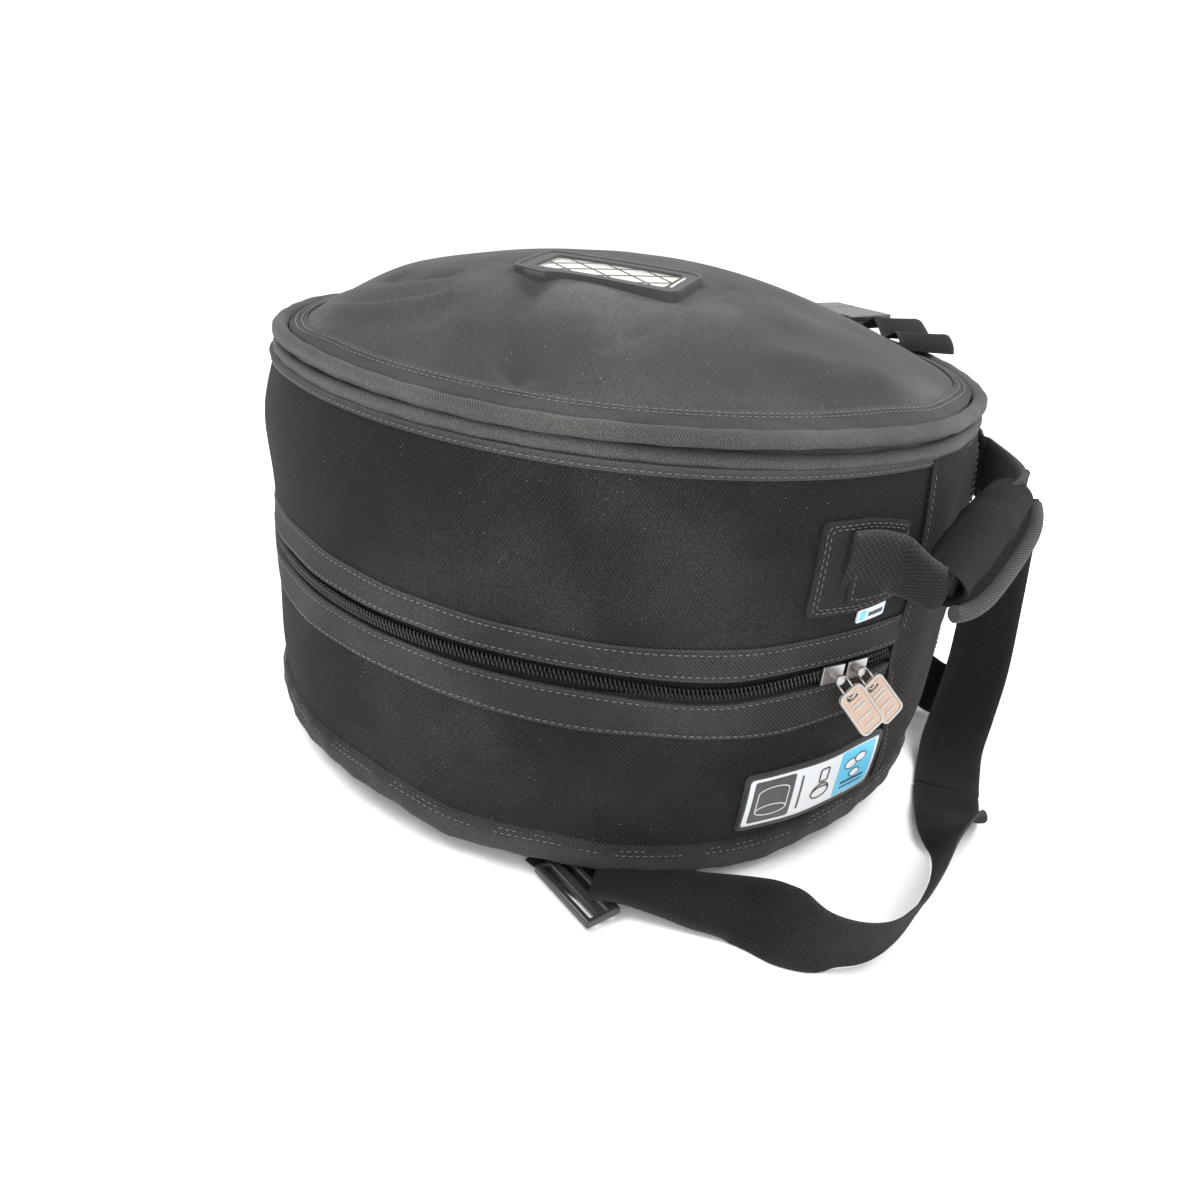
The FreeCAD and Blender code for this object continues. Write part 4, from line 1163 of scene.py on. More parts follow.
    def rims(self) -> None:
        """The two twill-covered rims with the groove between them, and their flange."""
        for name, level, node, seed in (("rim_lower", 220.0, "rim_piping_lower", 21),
                                        ("rim_upper", 228.5, "rim_piping_upper", 22)):
            azimuth = ALL_ROUND
            wobble = Ripple(0.45, 14, 10.0, seed).at(azimuth, np.full(azimuth.shape, level))
            sag = 0.9 * Ripple(1.0, 5, 10.0, seed + 40).at(azimuth, np.zeros(azimuth.shape))
            line = polar(203.4 + BAG.crown(azimuth) + wobble, azimuth,
                         level + sag + BAG.droop(azimuth))
            swell = 4.1 + 0.18 * np.sin(np.radians(azimuth) * 47)
            outer_side = np.clip(np.cos(circle(18)), 0, 1) ** 3
            wear = np.broadcast_to(outer_side * 0.7, (len(azimuth), 18))
            fit(tube(name, line, swell, 18, True, 0.98, wear), Finish.BINDING, "base", "twill",
                node)
        azimuth = ALL_ROUND[:, None]
        level = np.array([[217.6, 216.4, 215.0, 213.6, 212.6]]) + BAG.droop(azimuth)
        outer = BAG.on_wall(azimuth, level, np.array([[2.6, 1.5, 1.1, 0.9, 0.6]]))
        inner = BAG.on_wall(azimuth, level, 0.1)
        fit(sheet_solid("rim_flange", outer, inner, True), Finish.BINDING, "base", "twill")
        line = BAG.on_wall(ALL_ROUND, 214.4 + BAG.droop(ALL_ROUND), 1.2)
        sew("rim_stitches", line, "base")


@dataclass
class StrapPocket:
    """The full pocket over the upper face, its stitched strip and the card window.

    Attributes:
        rings: Points from the middle to the rim.
        cloth: Thickness of the pocket cloth.
        frame_size: Length and width of the card holder.
        window_size: Length and width of its opening.
        place_at: Where the holder's middle lies, seen from above.
        turn: How far the holder is turned, in degrees.
    """

    rings: int = 78
    cloth: float = 1.2
    frame_size: tuple = (90.0, 46.0)
    window_size: tuple = (70.0, 29.0)
    place_at: tuple = (18.0, -60.0)
    turn: float = 13.0

    def cover(self) -> None:
        """The pocket cloth, as a closed sheet from the middle to the rim."""
        azimuth = ALL_ROUND[:, None]
        t = np.linspace(0, 1, self.rings)[None, :] ** 0.9
        reach = t * (POCKET.rim_reach(azimuth) - 1.0)
        angle = np.radians(azimuth)
        x, y = reach * np.cos(angle), reach * np.sin(angle)
        outer = POCKET.on_top(x, y, 0.0)
        inner = POCKET.on_top(x, y, -self.cloth)
        cover = sheet_solid("pocket_cover_cloth", outer, inner, True, weld=True)
        corner = np.zeros(len(cover.data.loops), int)
        cover.data.loops.foreach_get("vertex_index", corner)
        points = np.zeros(len(cover.data.vertices) * 3)
        cover.data.vertices.foreach_get("co", points)
        plan = points.reshape(-1, 3)[corner, :2]
        cover.data.uv_layers["thread"].data.foreach_set("uv", plan.ravel())
        fit(cover, Finish.DOME, "base", "pocket_fabric", "pocket_cover", "stowed_harness")

    def strip(self) -> None:
        """The flat twill strip between the upper rim and the pocket's rise."""
        azimuth = ALL_ROUND[:, None]
        edge = POCKET.edge(azimuth)
        t = np.linspace(0, 1, 12)[None, :]
        reach = edge - 1.5 + (POCKET.rim_reach(azimuth) + 1.5 - edge) * t
        angle = np.radians(azimuth)
        pucker = 0.35 * np.sin(angle * 31) * np.sin(t * math.pi)
        x, y = reach * np.cos(angle), reach * np.sin(angle)
        lift = np.where(t > 0.98, 0.4, 1.1) + pucker
        outer = POCKET.on_top(x, y, lift)
        inner = POCKET.on_top(x, y, 0.1)
        wear = np.broadcast_to((t < 0.1) * 0.8, reach.shape)
        fit(sheet_solid("pocket_strip", outer, inner, True, wear), Finish.STRIP, "base",
            "twill", "rim_strip")
        for row, inset in enumerate((1.2, 4.4)):
            reach = POCKET.edge(ALL_ROUND) + inset
            x, y = reach * np.cos(np.radians(ALL_ROUND)), reach * np.sin(np.radians(ALL_ROUND))
            line = POCKET.on_top(x, y, 1.15)
            fit(stitch_row(f"pocket_stitches_{row + 1}", line, np.tile(UP, (360, 1)), 3.4),
                Finish.STITCH, "base", "twill")

    def on_card(self, s: Array, t: Array, lift: Array) -> Array:
        """Points over the pocket from the card frame's own length and width.

        The holder is stiff: its ground is mostly a leaning plane and partly the pocket.
        """
        turn = math.radians(self.turn)
        x = self.place_at[0] + s * math.cos(turn) - t * math.sin(turn)
        y = self.place_at[1] + s * math.sin(turn) + t * math.cos(turn)
        ground = POCKET.height(x, y)
        flat = 270.4 - 0.027 * (x - self.place_at[0]) + 0.098 * (y - self.place_at[1])
        return np.stack(np.broadcast_arrays(x, y, 0.7 * flat + 0.3 * ground + lift), -1)

    def card(self) -> None:
        """The rubber frame with its raised lip, the card, the sheet and its lattice."""
        edge = rounded_outline(*self.frame_size, 6.0, 96)
        opening = rounded_outline(*self.window_size, 2.0, 96)
        fit(plate("card_holder", edge, self.on_card, -3.4, 5.2, opening, 0.8), Finish.RUBBER,
            "base", "rubber", "card_frame")
        lip_in = rounded_outline(self.frame_size[0] - 4.5, self.frame_size[1] - 4.5, 5.0, 96)
        fit(plate("card_holder_lip", edge * 0.992, self.on_card, 1.7, 0.8, lip_in, 0.3),
            Finish.RUBBER, "base", "rubber")
        sheet_edge = rounded_outline(self.window_size[0] + 3, self.window_size[1] + 3, 2.0, 96)
        fit(plate("card_sheet", sheet_edge, self.on_card, -0.6, 0.5), Finish.CARD, "base",
            "card", "name_card")
        fit(plate("card_pane", sheet_edge, self.on_card, 0.1, 0.4), Finish.WINDOW, "base",
            "clear_window", "card_window")
        half_s, half_t = self.window_size[0] / 2, self.window_size[1] / 2
        for lean in (-1, 1):
            for k, start in enumerate(np.arange(-half_s - 18, half_s + 18, 22.0)):
                s = start + lean * np.linspace(-half_t, half_t, 24) * 1.35
                t = np.linspace(-half_t, half_t, 24)
                keep = np.abs(s) < half_s + 0.4
                if keep.sum() < 4:
                    continue
                bar = stroke(f"card_lattice_{'ab'[lean > 0]}{k}", np.stack([s, t], -1)[keep],
                             self.on_card, 0.55, 0.5, 0.2)
                fit(bar, Finish.RUBBER, "base", "rubber")
        slot = level_line(-half_t + 2, half_t - 6, half_s + 3.4)[:, ::-1]
        fit(stroke("card_slot", slot, self.on_card, 1.75, 1.0, 0.25), Finish.WHITE, "base",
            "card")


def stroke(name: str, line: Array, place: Place, lift: float, width: float,
           gauge: float, closed: bool = False) -> Piece:
    """A thin raised line on a curved ground, square in section.

    Args:
        name: The piece's name.
        line: Points (n, 2) of its middle.
        place: Gives points from (s, t, lift above the ground).
        lift: Height of its underside.
        width: Line width.
        gauge: Line thickness.
        closed: Join its ends.

    Returns:
        The linked object.
    """
    ahead = np.roll(line, -1, axis=0) - np.roll(line, 1, axis=0) if closed else np.gradient(
        line, axis=0)
    normal = unit(np.stack([-ahead[:, 1], ahead[:, 0]], -1)) * width / 2
    left, right = line + normal, line - normal
    low, high = np.full(len(line), lift), np.full(len(line), lift + gauge)
    corners = [(left, low), (left, high), (right, high), (right, low)]
    rings = np.stack([place(p[:, 0], p[:, 1], h) for p, h in corners], axis=1)
    return ring_solid(name, rings, closed)


# ---- the zip


@dataclass
class ZipBand:
    """The zip round the waist: tapes, coils, facings, sliders and pulls.

    Attributes:
        start: Azimuth where the chain starts, beside the hinge panel.
        stop: Azimuth where it stops, at the panel's other side.
        coil_radius: Distance of the coils from the bag's axis.
        coil_turn: Length of chain to one tooth.
        pull_size: Width and length of a pull's tab.
    """

    start: float = 12.6
    stop: float = 347.2
    coil_radius: float = 205.4
    coil_turn: float = 2.1
    pull_size: tuple = (14.0, 27.0)

    def arc(self, count: int) -> Array:
        """Azimuths of the chain, from one side of the hinge panel round to the other."""
        return np.linspace(self.start, self.stop, count)

    def band(self, name: str, marks_low: Sequence, marks_high: Sequence, lift: Sequence,
             wear: bool) -> Piece:
        """A strip of cloth along the chain between two heights that change with azimuth.

        Args:
            name: The piece's name.
            marks_low: Pairs of an azimuth and the height of the lower edge.
            marks_high: The same for the upper edge.
            lift: Heights over the wall from the lower edge to the upper.
            wear: Whether its edges are worn.

        Returns:
            The linked object.
        """
        azimuth = self.arc(340)[:, None]
        t = np.linspace(0, 1, 12)[None, :]
        low = round_blend(azimuth, marks_low)
        high = round_blend(azimuth, marks_high)
        near = np.exp(-((low + (high - low) * t - ZIP_LEVEL) / 20.0) ** 2)
        height = low + (high - low) * t + BAG.sag(azimuth) * near
        raised = np.interp(t, np.linspace(0, 1, len(lift)), lift)
        soft = Ripple(0.25, 34, 8.0, len(name)).at(np.broadcast_to(azimuth, height.shape), height)
        outer = BAG.on_wall(azimuth, height, raised + soft)
        inner = BAG.on_wall(azimuth, height, np.minimum(raised - 0.7, 0.1))
        worn = np.broadcast_to(np.maximum(t < 0.08, t > 0.92) * 0.7 * wear, height.shape)
        return sheet_solid(name, outer, inner, False, worn)

    def facings(self) -> None:
        """The twill facings over and under the chain, with a stitch row near each edge."""
        upper_low = [(-100, 123.0), (80, 123.0)]
        upper_high = [(-108, 140), (-74, 137), (-55, 136), (-37, 136), (-14, 139), (90, 139)]
        lower_low = [(-110, 92), (-77, 92), (-53, 89), (-34, 86), (-16, 90), (90, 94)]
        lower_high = [(-100, 111.0), (80, 111.0)]
        # The facings use the darker twill, whose darkness is painted shade.
        fit(self.band("zip_facing_upper", upper_low, upper_high, (2.2, 1.9, 1.2, 1.0, 0.9),
                      True), Finish.SHADED_HEM, "base", "twill", "base_zip_facing")
        fit(self.band("zip_facing_lower", lower_low, lower_high, (0.9, 1.0, 1.2, 1.8, 2.2),
                      True), Finish.SHADED_HEM, "lid", "twill", "lid_zip_facing")
        rows = (("zip_stitches_1", "base", upper_low, 2.0),
                ("zip_stitches_2", "base", upper_high, -2.0),
                ("zip_stitches_3", "lid", lower_high, -2.0),
                ("zip_stitches_4", "lid", lower_low, 2.0))
        azimuth = self.arc(340)
        for name, body, marks, shift in rows:
            level = round_blend(azimuth, marks) + shift
            near = np.exp(-((level - ZIP_LEVEL) / 20.0) ** 2)
            height = level + BAG.sag(azimuth) * near
            line = BAG.on_wall(azimuth, height, 2.1 if abs(level[0] - ZIP_LEVEL) < 9 else 1.25)
            sew(name, line, body)

    def tapes(self) -> None:
        """The woven tapes that carry the coils."""
        lift = (-1.2, -1.2, -1.0, -0.6)
        fit(self.band("zip_tape_upper", [(0, 118.4)], [(0, 126.5)], lift, False), Finish.TAPE,
            "base", "zip_tape", "base_zip_tape")
        fit(self.band("zip_tape_lower", [(0, 107.5)], [(0, 115.6)], lift[::-1], False),
            Finish.TAPE, "lid", "zip_tape", "lid_zip_tape")

    def coil(self, name: str, level: float, phase: float) -> Piece:
        """One coil: a helix of fine wire, flattened against the tape.

        Args:
            name: The piece's name.
            level: Height of its middle line.
            phase: Angle of its first turn.

        Returns:
            The linked object.
        """
        first, last = math.radians(self.start + 0.4), math.radians(self.stop - 0.4)
        turns = int((last - first) * self.coil_radius / self.coil_turn)
        count = turns * 10 + 1
        share = np.linspace(0, 1, count)
        azimuth = np.degrees(first + (last - first) * share)
        turn = share * turns * TURN + phase
        tooth = np.sign(np.cos(turn)) * np.abs(np.cos(turn)) ** 0.7
        height = level + BAG.sag(azimuth) + 1.55 * tooth
        line = polar(self.coil_radius + 0.95 * np.sin(turn), azimuth, height)
        return tube(name, line, 0.5, 5)

    def chain(self) -> None:
        """Both coils, meshed tooth by tooth."""
        fit(self.coil("zip_coil_upper", ZIP_LEVEL + 1.25, 0.0), Finish.COIL, "base", "zip_coil",
            "base_zip_coil")
        fit(self.coil("zip_coil_lower", ZIP_LEVEL - 1.25, math.pi), Finish.COIL, "lid",
            "zip_coil", "lid_zip_coil")

    def chain_end(self) -> None:
        """The short tape at the sewn end of the chain."""
        azimuth = np.linspace(-30.2, -12.9, 24)[:, None]
        height = np.linspace(118.0, 126.0, 6)[None, :]
        outer = BAG.on_wall(azimuth, height, -1.4)
        inner = BAG.on_wall(azimuth, height, -2.2)
        fit(sheet_solid("zip_end_cloth", outer, inner, False), Finish.TAPE, "lid", "zip_tape",
            "zip_end_tape", "zip_end_coil")

    def sliders(self) -> None:
        """Both plated sliders and the flat pulls that hang from them."""
        for name in ("slider_travelling", "slider_parked"):
            fit(softened_node(name + "_body", name, 0.5), Finish.BRIGHT, name, "slider_metal")
        self.pull("pull_travelling", -25.2, 215.0, 38.0)
        self.pull("pull_parked", -21.0, 212.9, 40.0)

    def pull(self, node: str, azimuth: float, reach: float, lean: float) -> None:
        """One pull: an eye on two wires, and a tab with a raised border, bars and a slot.

        The tab lies in a plane through the eye, leaning along the wall and a little off it.

        Args:
            node: The frame node that it replaces, which is also its body.
            azimuth: Where its eye is.
            reach: How far the eye is from the bag's axis.
            lean: How far it leans along the wall, in degrees.
        """
        out = polar(np.array(1.0), np.array(azimuth), np.array(0.0))
        along = np.array([-out[1], out[0], 0.0])
        tilt, turn = math.radians(16.0), math.radians(lean)
        down = along * math.sin(turn) - UP * math.cos(turn)
        side = np.cross(out, down)
        down_off = unit(down * math.cos(tilt) + out * math.sin(tilt))
        face = np.cross(side, down_off)
        face = face if face @ out > 0 else -face
        eye = out * reach + UP * ZIP_LEVEL

        def place(s: Array, t: Array, lift: Array) -> Array:
            """Points of the tab from its width, its length from the eye, and its face."""
            s, t, lift = np.broadcast_arrays(s, t, lift)
            bend = 0.5 * (t / 40.0) ** 2
            return (eye + side * s[..., None] + down_off * t[..., None]
                    + face * (lift - bend)[..., None])

        width, length = self.pull_size
        middle = np.array([0.0, 6.5 + length / 2])
        rim = rounded_outline(width, length, 3.2, 72) + middle
        slot = rounded_outline(6.4, 2.6, 1.2, 72) + np.array([0.0, 10.6])
        body = plate(node + "_tab", rim, place, -0.8, 1.4, slot, 0.35)
        fit(body, Finish.PULL, node, "pull_metal", node)
        inner = rounded_outline(width - 2.2, length - 2.2, 2.4, 72) + middle
        fit(plate(node + "_border", rim * [0.99, 1.0], place, 0.55, 0.4, inner, 0.15),
            Finish.BRIGHT, node, "pull_metal")
        for k, (level, half) in enumerate(((15.0, 3.6), (17.6, 3.6), (23.5, 4.2), (28.5, 3.0))):
            fit(stroke(f"{node}_bar_{k + 1}", level_line(-half, half, level, 6), place, 0.55,
                       1.0, 0.3), Finish.BRIGHT, node, "pull_metal")
        ring = rounded_outline(5.4, 13.0, 2.6, 40) + np.array([0.0, 4.2])
        wire = place(ring[:, 0], ring[:, 1], np.full(40, 0.2))
        turned = circle(8)
        away = unit(wire - wire.mean(axis=0))
        rings = wire[:, None] + 0.65 * (away[:, None] * np.cos(turned)[None, :, None]
                                        + face * np.sin(turned)[None, :, None])
        fit(ring_solid(node + "_bail", rings, True), Finish.BRIGHT, node, "pull_metal")

    def build(self) -> None:
        """Build the whole zip."""
        self.tapes()
        self.chain()
        self.chain_end()
        self.facings()
        self.sliders()


# ---- hinge panel and label


@dataclass
class HingePanel:
    """The coarse cloth panel over the fold, and the small ribbon tab beside it.

    Attributes:
        half: Half its width, in degrees of azimuth.
        lean: How far its lower part leans, in degrees.
    """

    half: float = 12.6
    lean: float = 16.0

    def across(self, share: float | Array, height: Array) -> Array:
        """Azimuth at a share of the half width; below the zip the panel drifts sideways."""
        drift = np.clip(ZIP_LEVEL - height, 0, 200) * math.tan(math.radians(self.lean))
        return share * self.half + np.degrees(drift / BAG.radius) * 0.92

    def build(self) -> None:
        """Build the panel as one cloth that bends at the zip's level."""
        s = np.linspace(-1, 1, 40)[None, :]
        height = np.concatenate([np.linspace(15.5, 110, 60), np.linspace(111, 123, 13),
                                 np.linspace(124.5, 216.4, 50)])[:, None]
        azimuth = self.across(s, height)
        crease = Ripple(0.5, 40, 14.0, 77).at(azimuth, np.broadcast_to(height, azimuth.shape))
        fold = 0.7 * np.exp(-((height - ZIP_LEVEL) / 5.0) ** 2)
        outer = BAG.on_wall(azimuth, height, 1.6 + fold + crease * 0.5)
        inner = BAG.on_wall(azimuth, height, 0.1 + fold + crease * 0.5)
        wear = np.broadcast_to(np.abs(s) > 0.93, azimuth.shape) * 0.8
        piece = sheet_solid("hinge_panel", outer, inner, False, wear)
        dress(piece, Finish.PANEL)
        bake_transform(piece)
        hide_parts("hinge_panel_base", "hinge_panel_lid")
        for name, body, low, high in (("panel_stitches_low", "lid", 30, 106),
                                      ("panel_stitches_high", "base", 128, 211)):
            for k, edge in enumerate((-0.93, 0.93)):
                level = np.linspace(low, high, 60)
                line = BAG.on_wall(self.across(edge, level), level, 1.95)
                sew(f"{name}_{k + 1}", line, body, "ballistic")

    def side_tab(self) -> None:
        """A folded ribbon tab under the front patch."""

        def place(s: Array, t: Array, lift: Array) -> Array:
            """Points of the tab from its own width and height."""
            return BAG.on_wall(-20.4 + np.degrees(s / BAG.radius), 146.4 + t + s * 0.14,
                               lift + 0.5)

        outline = rounded_outline(17.0, 7.0, 0.8, 60)
        fit(plate("ribbon_tab", outline, place, 0.0, 1.0), Finish.TAB, "base", "tab_ribbon",
            "side_tab")
        mark = rounded_outline(3.6, 5.0, 0.8, 40) + np.array([-5.6, 0.0])
        fit(plate("ribbon_tab_mark", mark, place, 1.0, 0.15), Finish.BLUE, "base",
            "tab_ribbon")
        fit(stroke("ribbon_tab_bar", level_line(-2.0, 7.0, -0.4), place, 1.0, 2.2, 0.12),
            Finish.INK, "base", "tab_ribbon")


@dataclass
class SizeLabel:
    """The rubber-edged label on the lid: plain fields and generic pictures, no lettering.

    Attributes:
        length: Its length along the wall.
        width: Its width up the wall.
        azimuth: Azimuth of its middle.
        level: Height of its middle.
    """

    length: float = 94.0
    width: float = 36.0
    azimuth: float = -22.0
    level: float = 47.5

    def place(self, s: Array, t: Array, lift: Array) -> Array:
        """Points over the wall from the label's own length and width."""
        azimuth = self.azimuth + np.degrees(s / BAG.radius)
        return BAG.on_wall(azimuth, self.level + t + s * 0.035, lift + 0.2)

    def field(self, name: str, middle: float, size: tuple, finish: Finish,
              lift: float) -> None:
        """A flat printed field.

        Args:
            name: The piece's name.
            middle: Its middle along the label.
            size: Its length and width.
            finish: Its finish.
            lift: Its height over the wall.
        """
        outline = rounded_outline(*size, 1.0, 80) + np.array([middle, 0.0])
        fit(plate(name, outline, self.place, lift, 0.25, round_over=0.1), finish, "lid",
            "label_print")

    def ink(self, name: str, line: Array, width: float, finish: Finish, closed: bool,
            lift: float = 2.0) -> None:
        """A printed line.

        Args:
            name: The piece's name.
            line: Points (n, 2) of its middle.
            width: Its width.
            finish: Its finish.
            closed: Join its ends.
            lift: Its height over the wall.
        """
        fit(stroke(name, line, self.place, lift, width, 0.12, closed), finish, "lid",
            "label_print")

    def build(self) -> None:
        """Build the label's rubber, its fields and its pictures."""
        edge = rounded_outline(self.length, self.width, 3.5, 120)
        fit(plate("label_rubber_back", edge, self.place, 0.0, 1.6, round_over=0.6, spokes=16),
            Finish.LABEL_RUBBER, "lid", "rubber", "label_backing")
        opening = rounded_outline(self.length - 5.5, self.width - 5.5, 1.4, 120)
        fit(plate("label_rubber_rim", edge * [0.985, 0.965], self.place, 1.4, 0.9, opening,
                  0.4), Finish.LABEL_RUBBER, "lid", "rubber")
        white = rounded_outline(self.length - 5.0, self.width - 5.0, 1.4, 120)
        fit(plate("label_white_field", white, self.place, 1.5, 0.3, round_over=0.1, spokes=16),
            Finish.WHITE, "lid", "label_print", "label_face")
        self.field("label_grey_field", -29.2, (24.0, 26.5), Finish.GREY, 1.75)
        self.field("label_blue_field", 28.0, (27.0, 28.5), Finish.BLUE, 1.75)
        turn = circle(48)
        ring = np.stack([np.cos(turn), np.sin(turn)], -1)
        arch = ring[:25]
        self.ink("label_drum_foot", ring * [9.0, 3.2] + [-29.2, -6.0], 0.5, Finish.WHITE, True)
        sides = np.vstack([[[-20.2, -6.0]], arch * [9.0, 3.2] + [-29.2, 5.4], [[-38.2, -6.0]]])
        self.ink("label_drum_sides", sides, 0.5, Finish.WHITE, False)
        for k, spot in enumerate(((23.5, 4.5), (30.5, 6.5), (28.0, -2.5))):
            disc = ring * [4.6 - 0.5 * k, 3.0 - 0.2 * k] + spot
            fit(plate(f"label_blue_disc_{k + 1}", disc, self.place, 2.0 + k * 0.1, 0.12,
                      round_over=0.05), Finish.WHITE, "lid", "label_print")
            self.ink(f"label_blue_ring_{k + 1}", disc, 0.55, Finish.INK, True, 2.05 + k * 0.1)
        for k, level in enumerate((-7.0, -10.0)):
            self.ink(f"label_blue_bar_{k + 1}", level_line(19.0, 37.0, level), 1.3 - 0.5 * k,
                     Finish.INK, False)
        self.ink("label_bag_outline", ring * [6.2, 3.6] + [2.0, -5.0], 0.8, Finish.INK, True)
        self.ink("label_bag_top", arch * [6.2, 5.6] + [2.0, -5.0], 0.8, Finish.INK, False)
        pack = rounded_outline(6.0, 8.0, 1.0, 40) + np.array([2.4, 6.0])
        self.ink("label_pack_outline", pack, 0.8, Finish.INK, True)
        self.ink("label_column", level_line(-10.5, 10.5, -12.6, 10)[:, ::-1], 1.0, Finish.GREY,
                 False)


# ---- handle


@dataclass
class Handle:
    """The carrying handle: sewn patches, webbing, a padded wrap and its piped edge.

    Attributes:
        axis: A point on the line that the handle swings about.
        tilt: How far that line is tilted, in degrees.
        reach: How far the webbing stands out from that line.
        grip_radius: Radius of the padded wrap.
        patch_size: Length and width of a sewn patch.
        drift: How far the grip hangs from the middle of its span.
        yaw: Slope of the grip away from the wall along its length.
    """

    axis: tuple = (203.0, 0.0, 177.0)
    tilt: float = 20.0
    reach: float = 26.0
    grip_radius: float = 12.6
    patch_size: tuple = (54.0, 46.0)
    drift: tuple = (-3.8, -19.0, 11.0)
    yaw: float = 0.05

    def hung(self, points: Array) -> Array:
        """Points of the grip, which hangs a little nearer the front than the strap's middle."""
        rows = np.asarray(points, float)
        turned = rows + rows[..., 1:2] * np.array([self.yaw, 0.0, 0.0])
        return self.local(turned + np.array(self.drift))

    def local(self, points: Array) -> Array:
        """Points from the handle's own axes: outward, along its span, and square to both."""
        turn = math.radians(self.tilt)
        rows = np.asarray(points, float)
        y = rows[..., 1] * math.cos(turn) - rows[..., 2] * math.sin(turn)
        z = rows[..., 1] * math.sin(turn) + rows[..., 2] * math.cos(turn)
        return np.stack([rows[..., 0] + self.axis[0], y + self.axis[1], z + self.axis[2]], -1)

    def patch(self, name: str, node: str, azimuth: float, level: float, flip: int) -> None:
        """One sewn patch: a coarse cloth plate narrowing towards the handle, box stitched.

        Args:
            name: The piece's name.
            node: The frame node that it replaces.
            azimuth: Azimuth of its middle.
            level: Height of its middle.
            flip: 1 where the handle is towards larger azimuths, or -1.
        """
        length, width = self.patch_size

        def place(s: Array, t: Array, lift: Array) -> Array:
            """Points over the wall from the patch's own length and width."""
            return BAG.on_wall(azimuth + np.degrees(s / BAG.radius), level + t, lift + 0.15)

        outline = rounded_outline(length, width, 3.0, 120)
        share = np.clip((outline[:, 0] * flip + 4) / (length / 2 + 4), 0, 1)
        outline[:, 1] *= 1 - 0.2 * share ** 1.6
        outline[:, 0] -= flip * 4.0
        fit(plate(name, outline, place, 0.0, 1.5, round_over=0.6, spokes=12), Finish.PATCH,
            "base", "ballistic", node)
        over = outline * [0.62, 0.72] + np.array([flip * 8.0, -1.0])
        fit(plate(name + "_over", over, place, 1.4, 1.3, round_over=0.6, spokes=10),
            Finish.PATCH, "base", "ballistic")
        for k, inset in enumerate((0.91, 0.84)):
            row = np.vstack([outline, outline[:1]]) * inset
            line = place(row[:, 0], row[:, 1], np.full(len(row), 1.55))
            sew(f"{name}_stitches_{k + 1}", line, "base", "ballistic")
        row = np.vstack([over, over[:1]])
        row = (row - over.mean(axis=0)) * 0.86 + over.mean(axis=0)
        line = place(row[:, 0], row[:, 1], np.full(len(row), 2.75))
        sew(f"{name}_stitches_3", line, "base", "ballistic")

    def webbing(self) -> None:
        """The webbing from patch to patch through the grip; its ends bend with the wall."""
        across = unit(self.local(np.array([0.0, 0.0, 1.0])) - self.local(np.zeros(3)))
        stations = [(tuple(self.hung(np.array([self.reach, y, 0.0]))), tuple(across))
                    for y in (-42.0, -20.0, 0.0, 20.0, 42.0)]
        fit(ribbon("handle_core", stations, 26.0, 3.0), Finish.PATCH, "handle", "webbing",
            "handle_webbing")
        for name, sign in (("handle_neck_front", -1), ("handle_neck_rear", 1)):
            level = 178.5 + sign * 7.5
            sewn = [(27.0, 0.0, 2.0), (24.0, 0.2, 3.0), (21.2, 0.8, 5.0), (18.9, 1.8, 9.0)]
            rows = [(tuple(BAG.on_wall(np.array(sign * azimuth), np.array(level + sign * rise),
                                       lift)), tuple(across)) for azimuth, rise, lift in sewn]
            rows += [(tuple(self.hung(np.array([x, sign * y - 5.0, 1.0]))), tuple(across))
                     for x, y in ((23.5, 44.0), (24.0, 33.0))]
            piece = ribbon(name, rows, (39.0, 40.0, 38.0, 33.0, 26.0, 22.0), 3.0, cup=-1.6)
            dress(piece, Finish.PATCH)
            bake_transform(piece)

    def grip(self) -> None:
        """The padded wrap: a hollow sleeve round the webbing, creased and open at its ends.

        Its section is a flattened ring whose radius swells in the middle of its length,
        pulls in at the stitched lower edge and is waved by creases across it.
        """
        turn = circle(72)[:, None]
        y_out = np.concatenate([[-38.0, -38.6], np.linspace(-37.5, 37.5, 60), [38.6, 38.0]])
        y_in = np.linspace(37.0, -37.0, 14)
        y = np.concatenate([y_out, y_in])[None, :] * 1.02 - 7.5
        outside = np.concatenate([np.ones(len(y_out)), np.zeros(len(y_in))])[None, :]
        outside[0, [0, len(y_out) - 1]] = 0.7
        share = (y + 7.5) / 39.0
        belly = 1.0 - 0.07 * np.abs(share) ** 3 + 0.05 * np.cos(share * 2.0)
        crease = (0.55 * np.sin(y / 3.1 + 1.4 * np.sin(turn)) * np.exp(-((share - 0.4) / 0.3) ** 2)
                  + 0.35 * np.sin(y / 5.0 + turn * 2))
        mouth = 1.0 + 0.10 * np.clip(-share - 0.75, 0, 1) * 4 * (np.cos(turn) ** 2)
        radius_out = self.grip_radius * belly * mouth + crease * 0.7 - 0.6
        radius_in = np.broadcast_to(9.4 + 0.3 * np.cos(turn * 2), radius_out.shape)
        radius = np.where(outside > 0.9, radius_out, np.where(
            outside > 0.5, radius_out * 0.5 + radius_in * 0.5, radius_in))
        flat = 1.0 + 0.06 * np.cos(2 * turn)
        x = self.reach - 3.0 + radius * np.cos(turn) * flat
        z = 2.0 + radius * np.sin(turn) + 0.6 * (1 - share ** 2)
        points = self.hung(np.stack(np.broadcast_arrays(x, y, z), -1))
        wear = np.clip(np.cos(turn - 0.7), 0, 1) ** 4 * 0.5 * outside
        piece = ring_solid("handle_wrap", points, True, np.broadcast_to(wear, radius.shape))
        fit(piece, Finish.GRIP, "handle", "grip_fabric", "handle_grip")
        self.piped_edge()

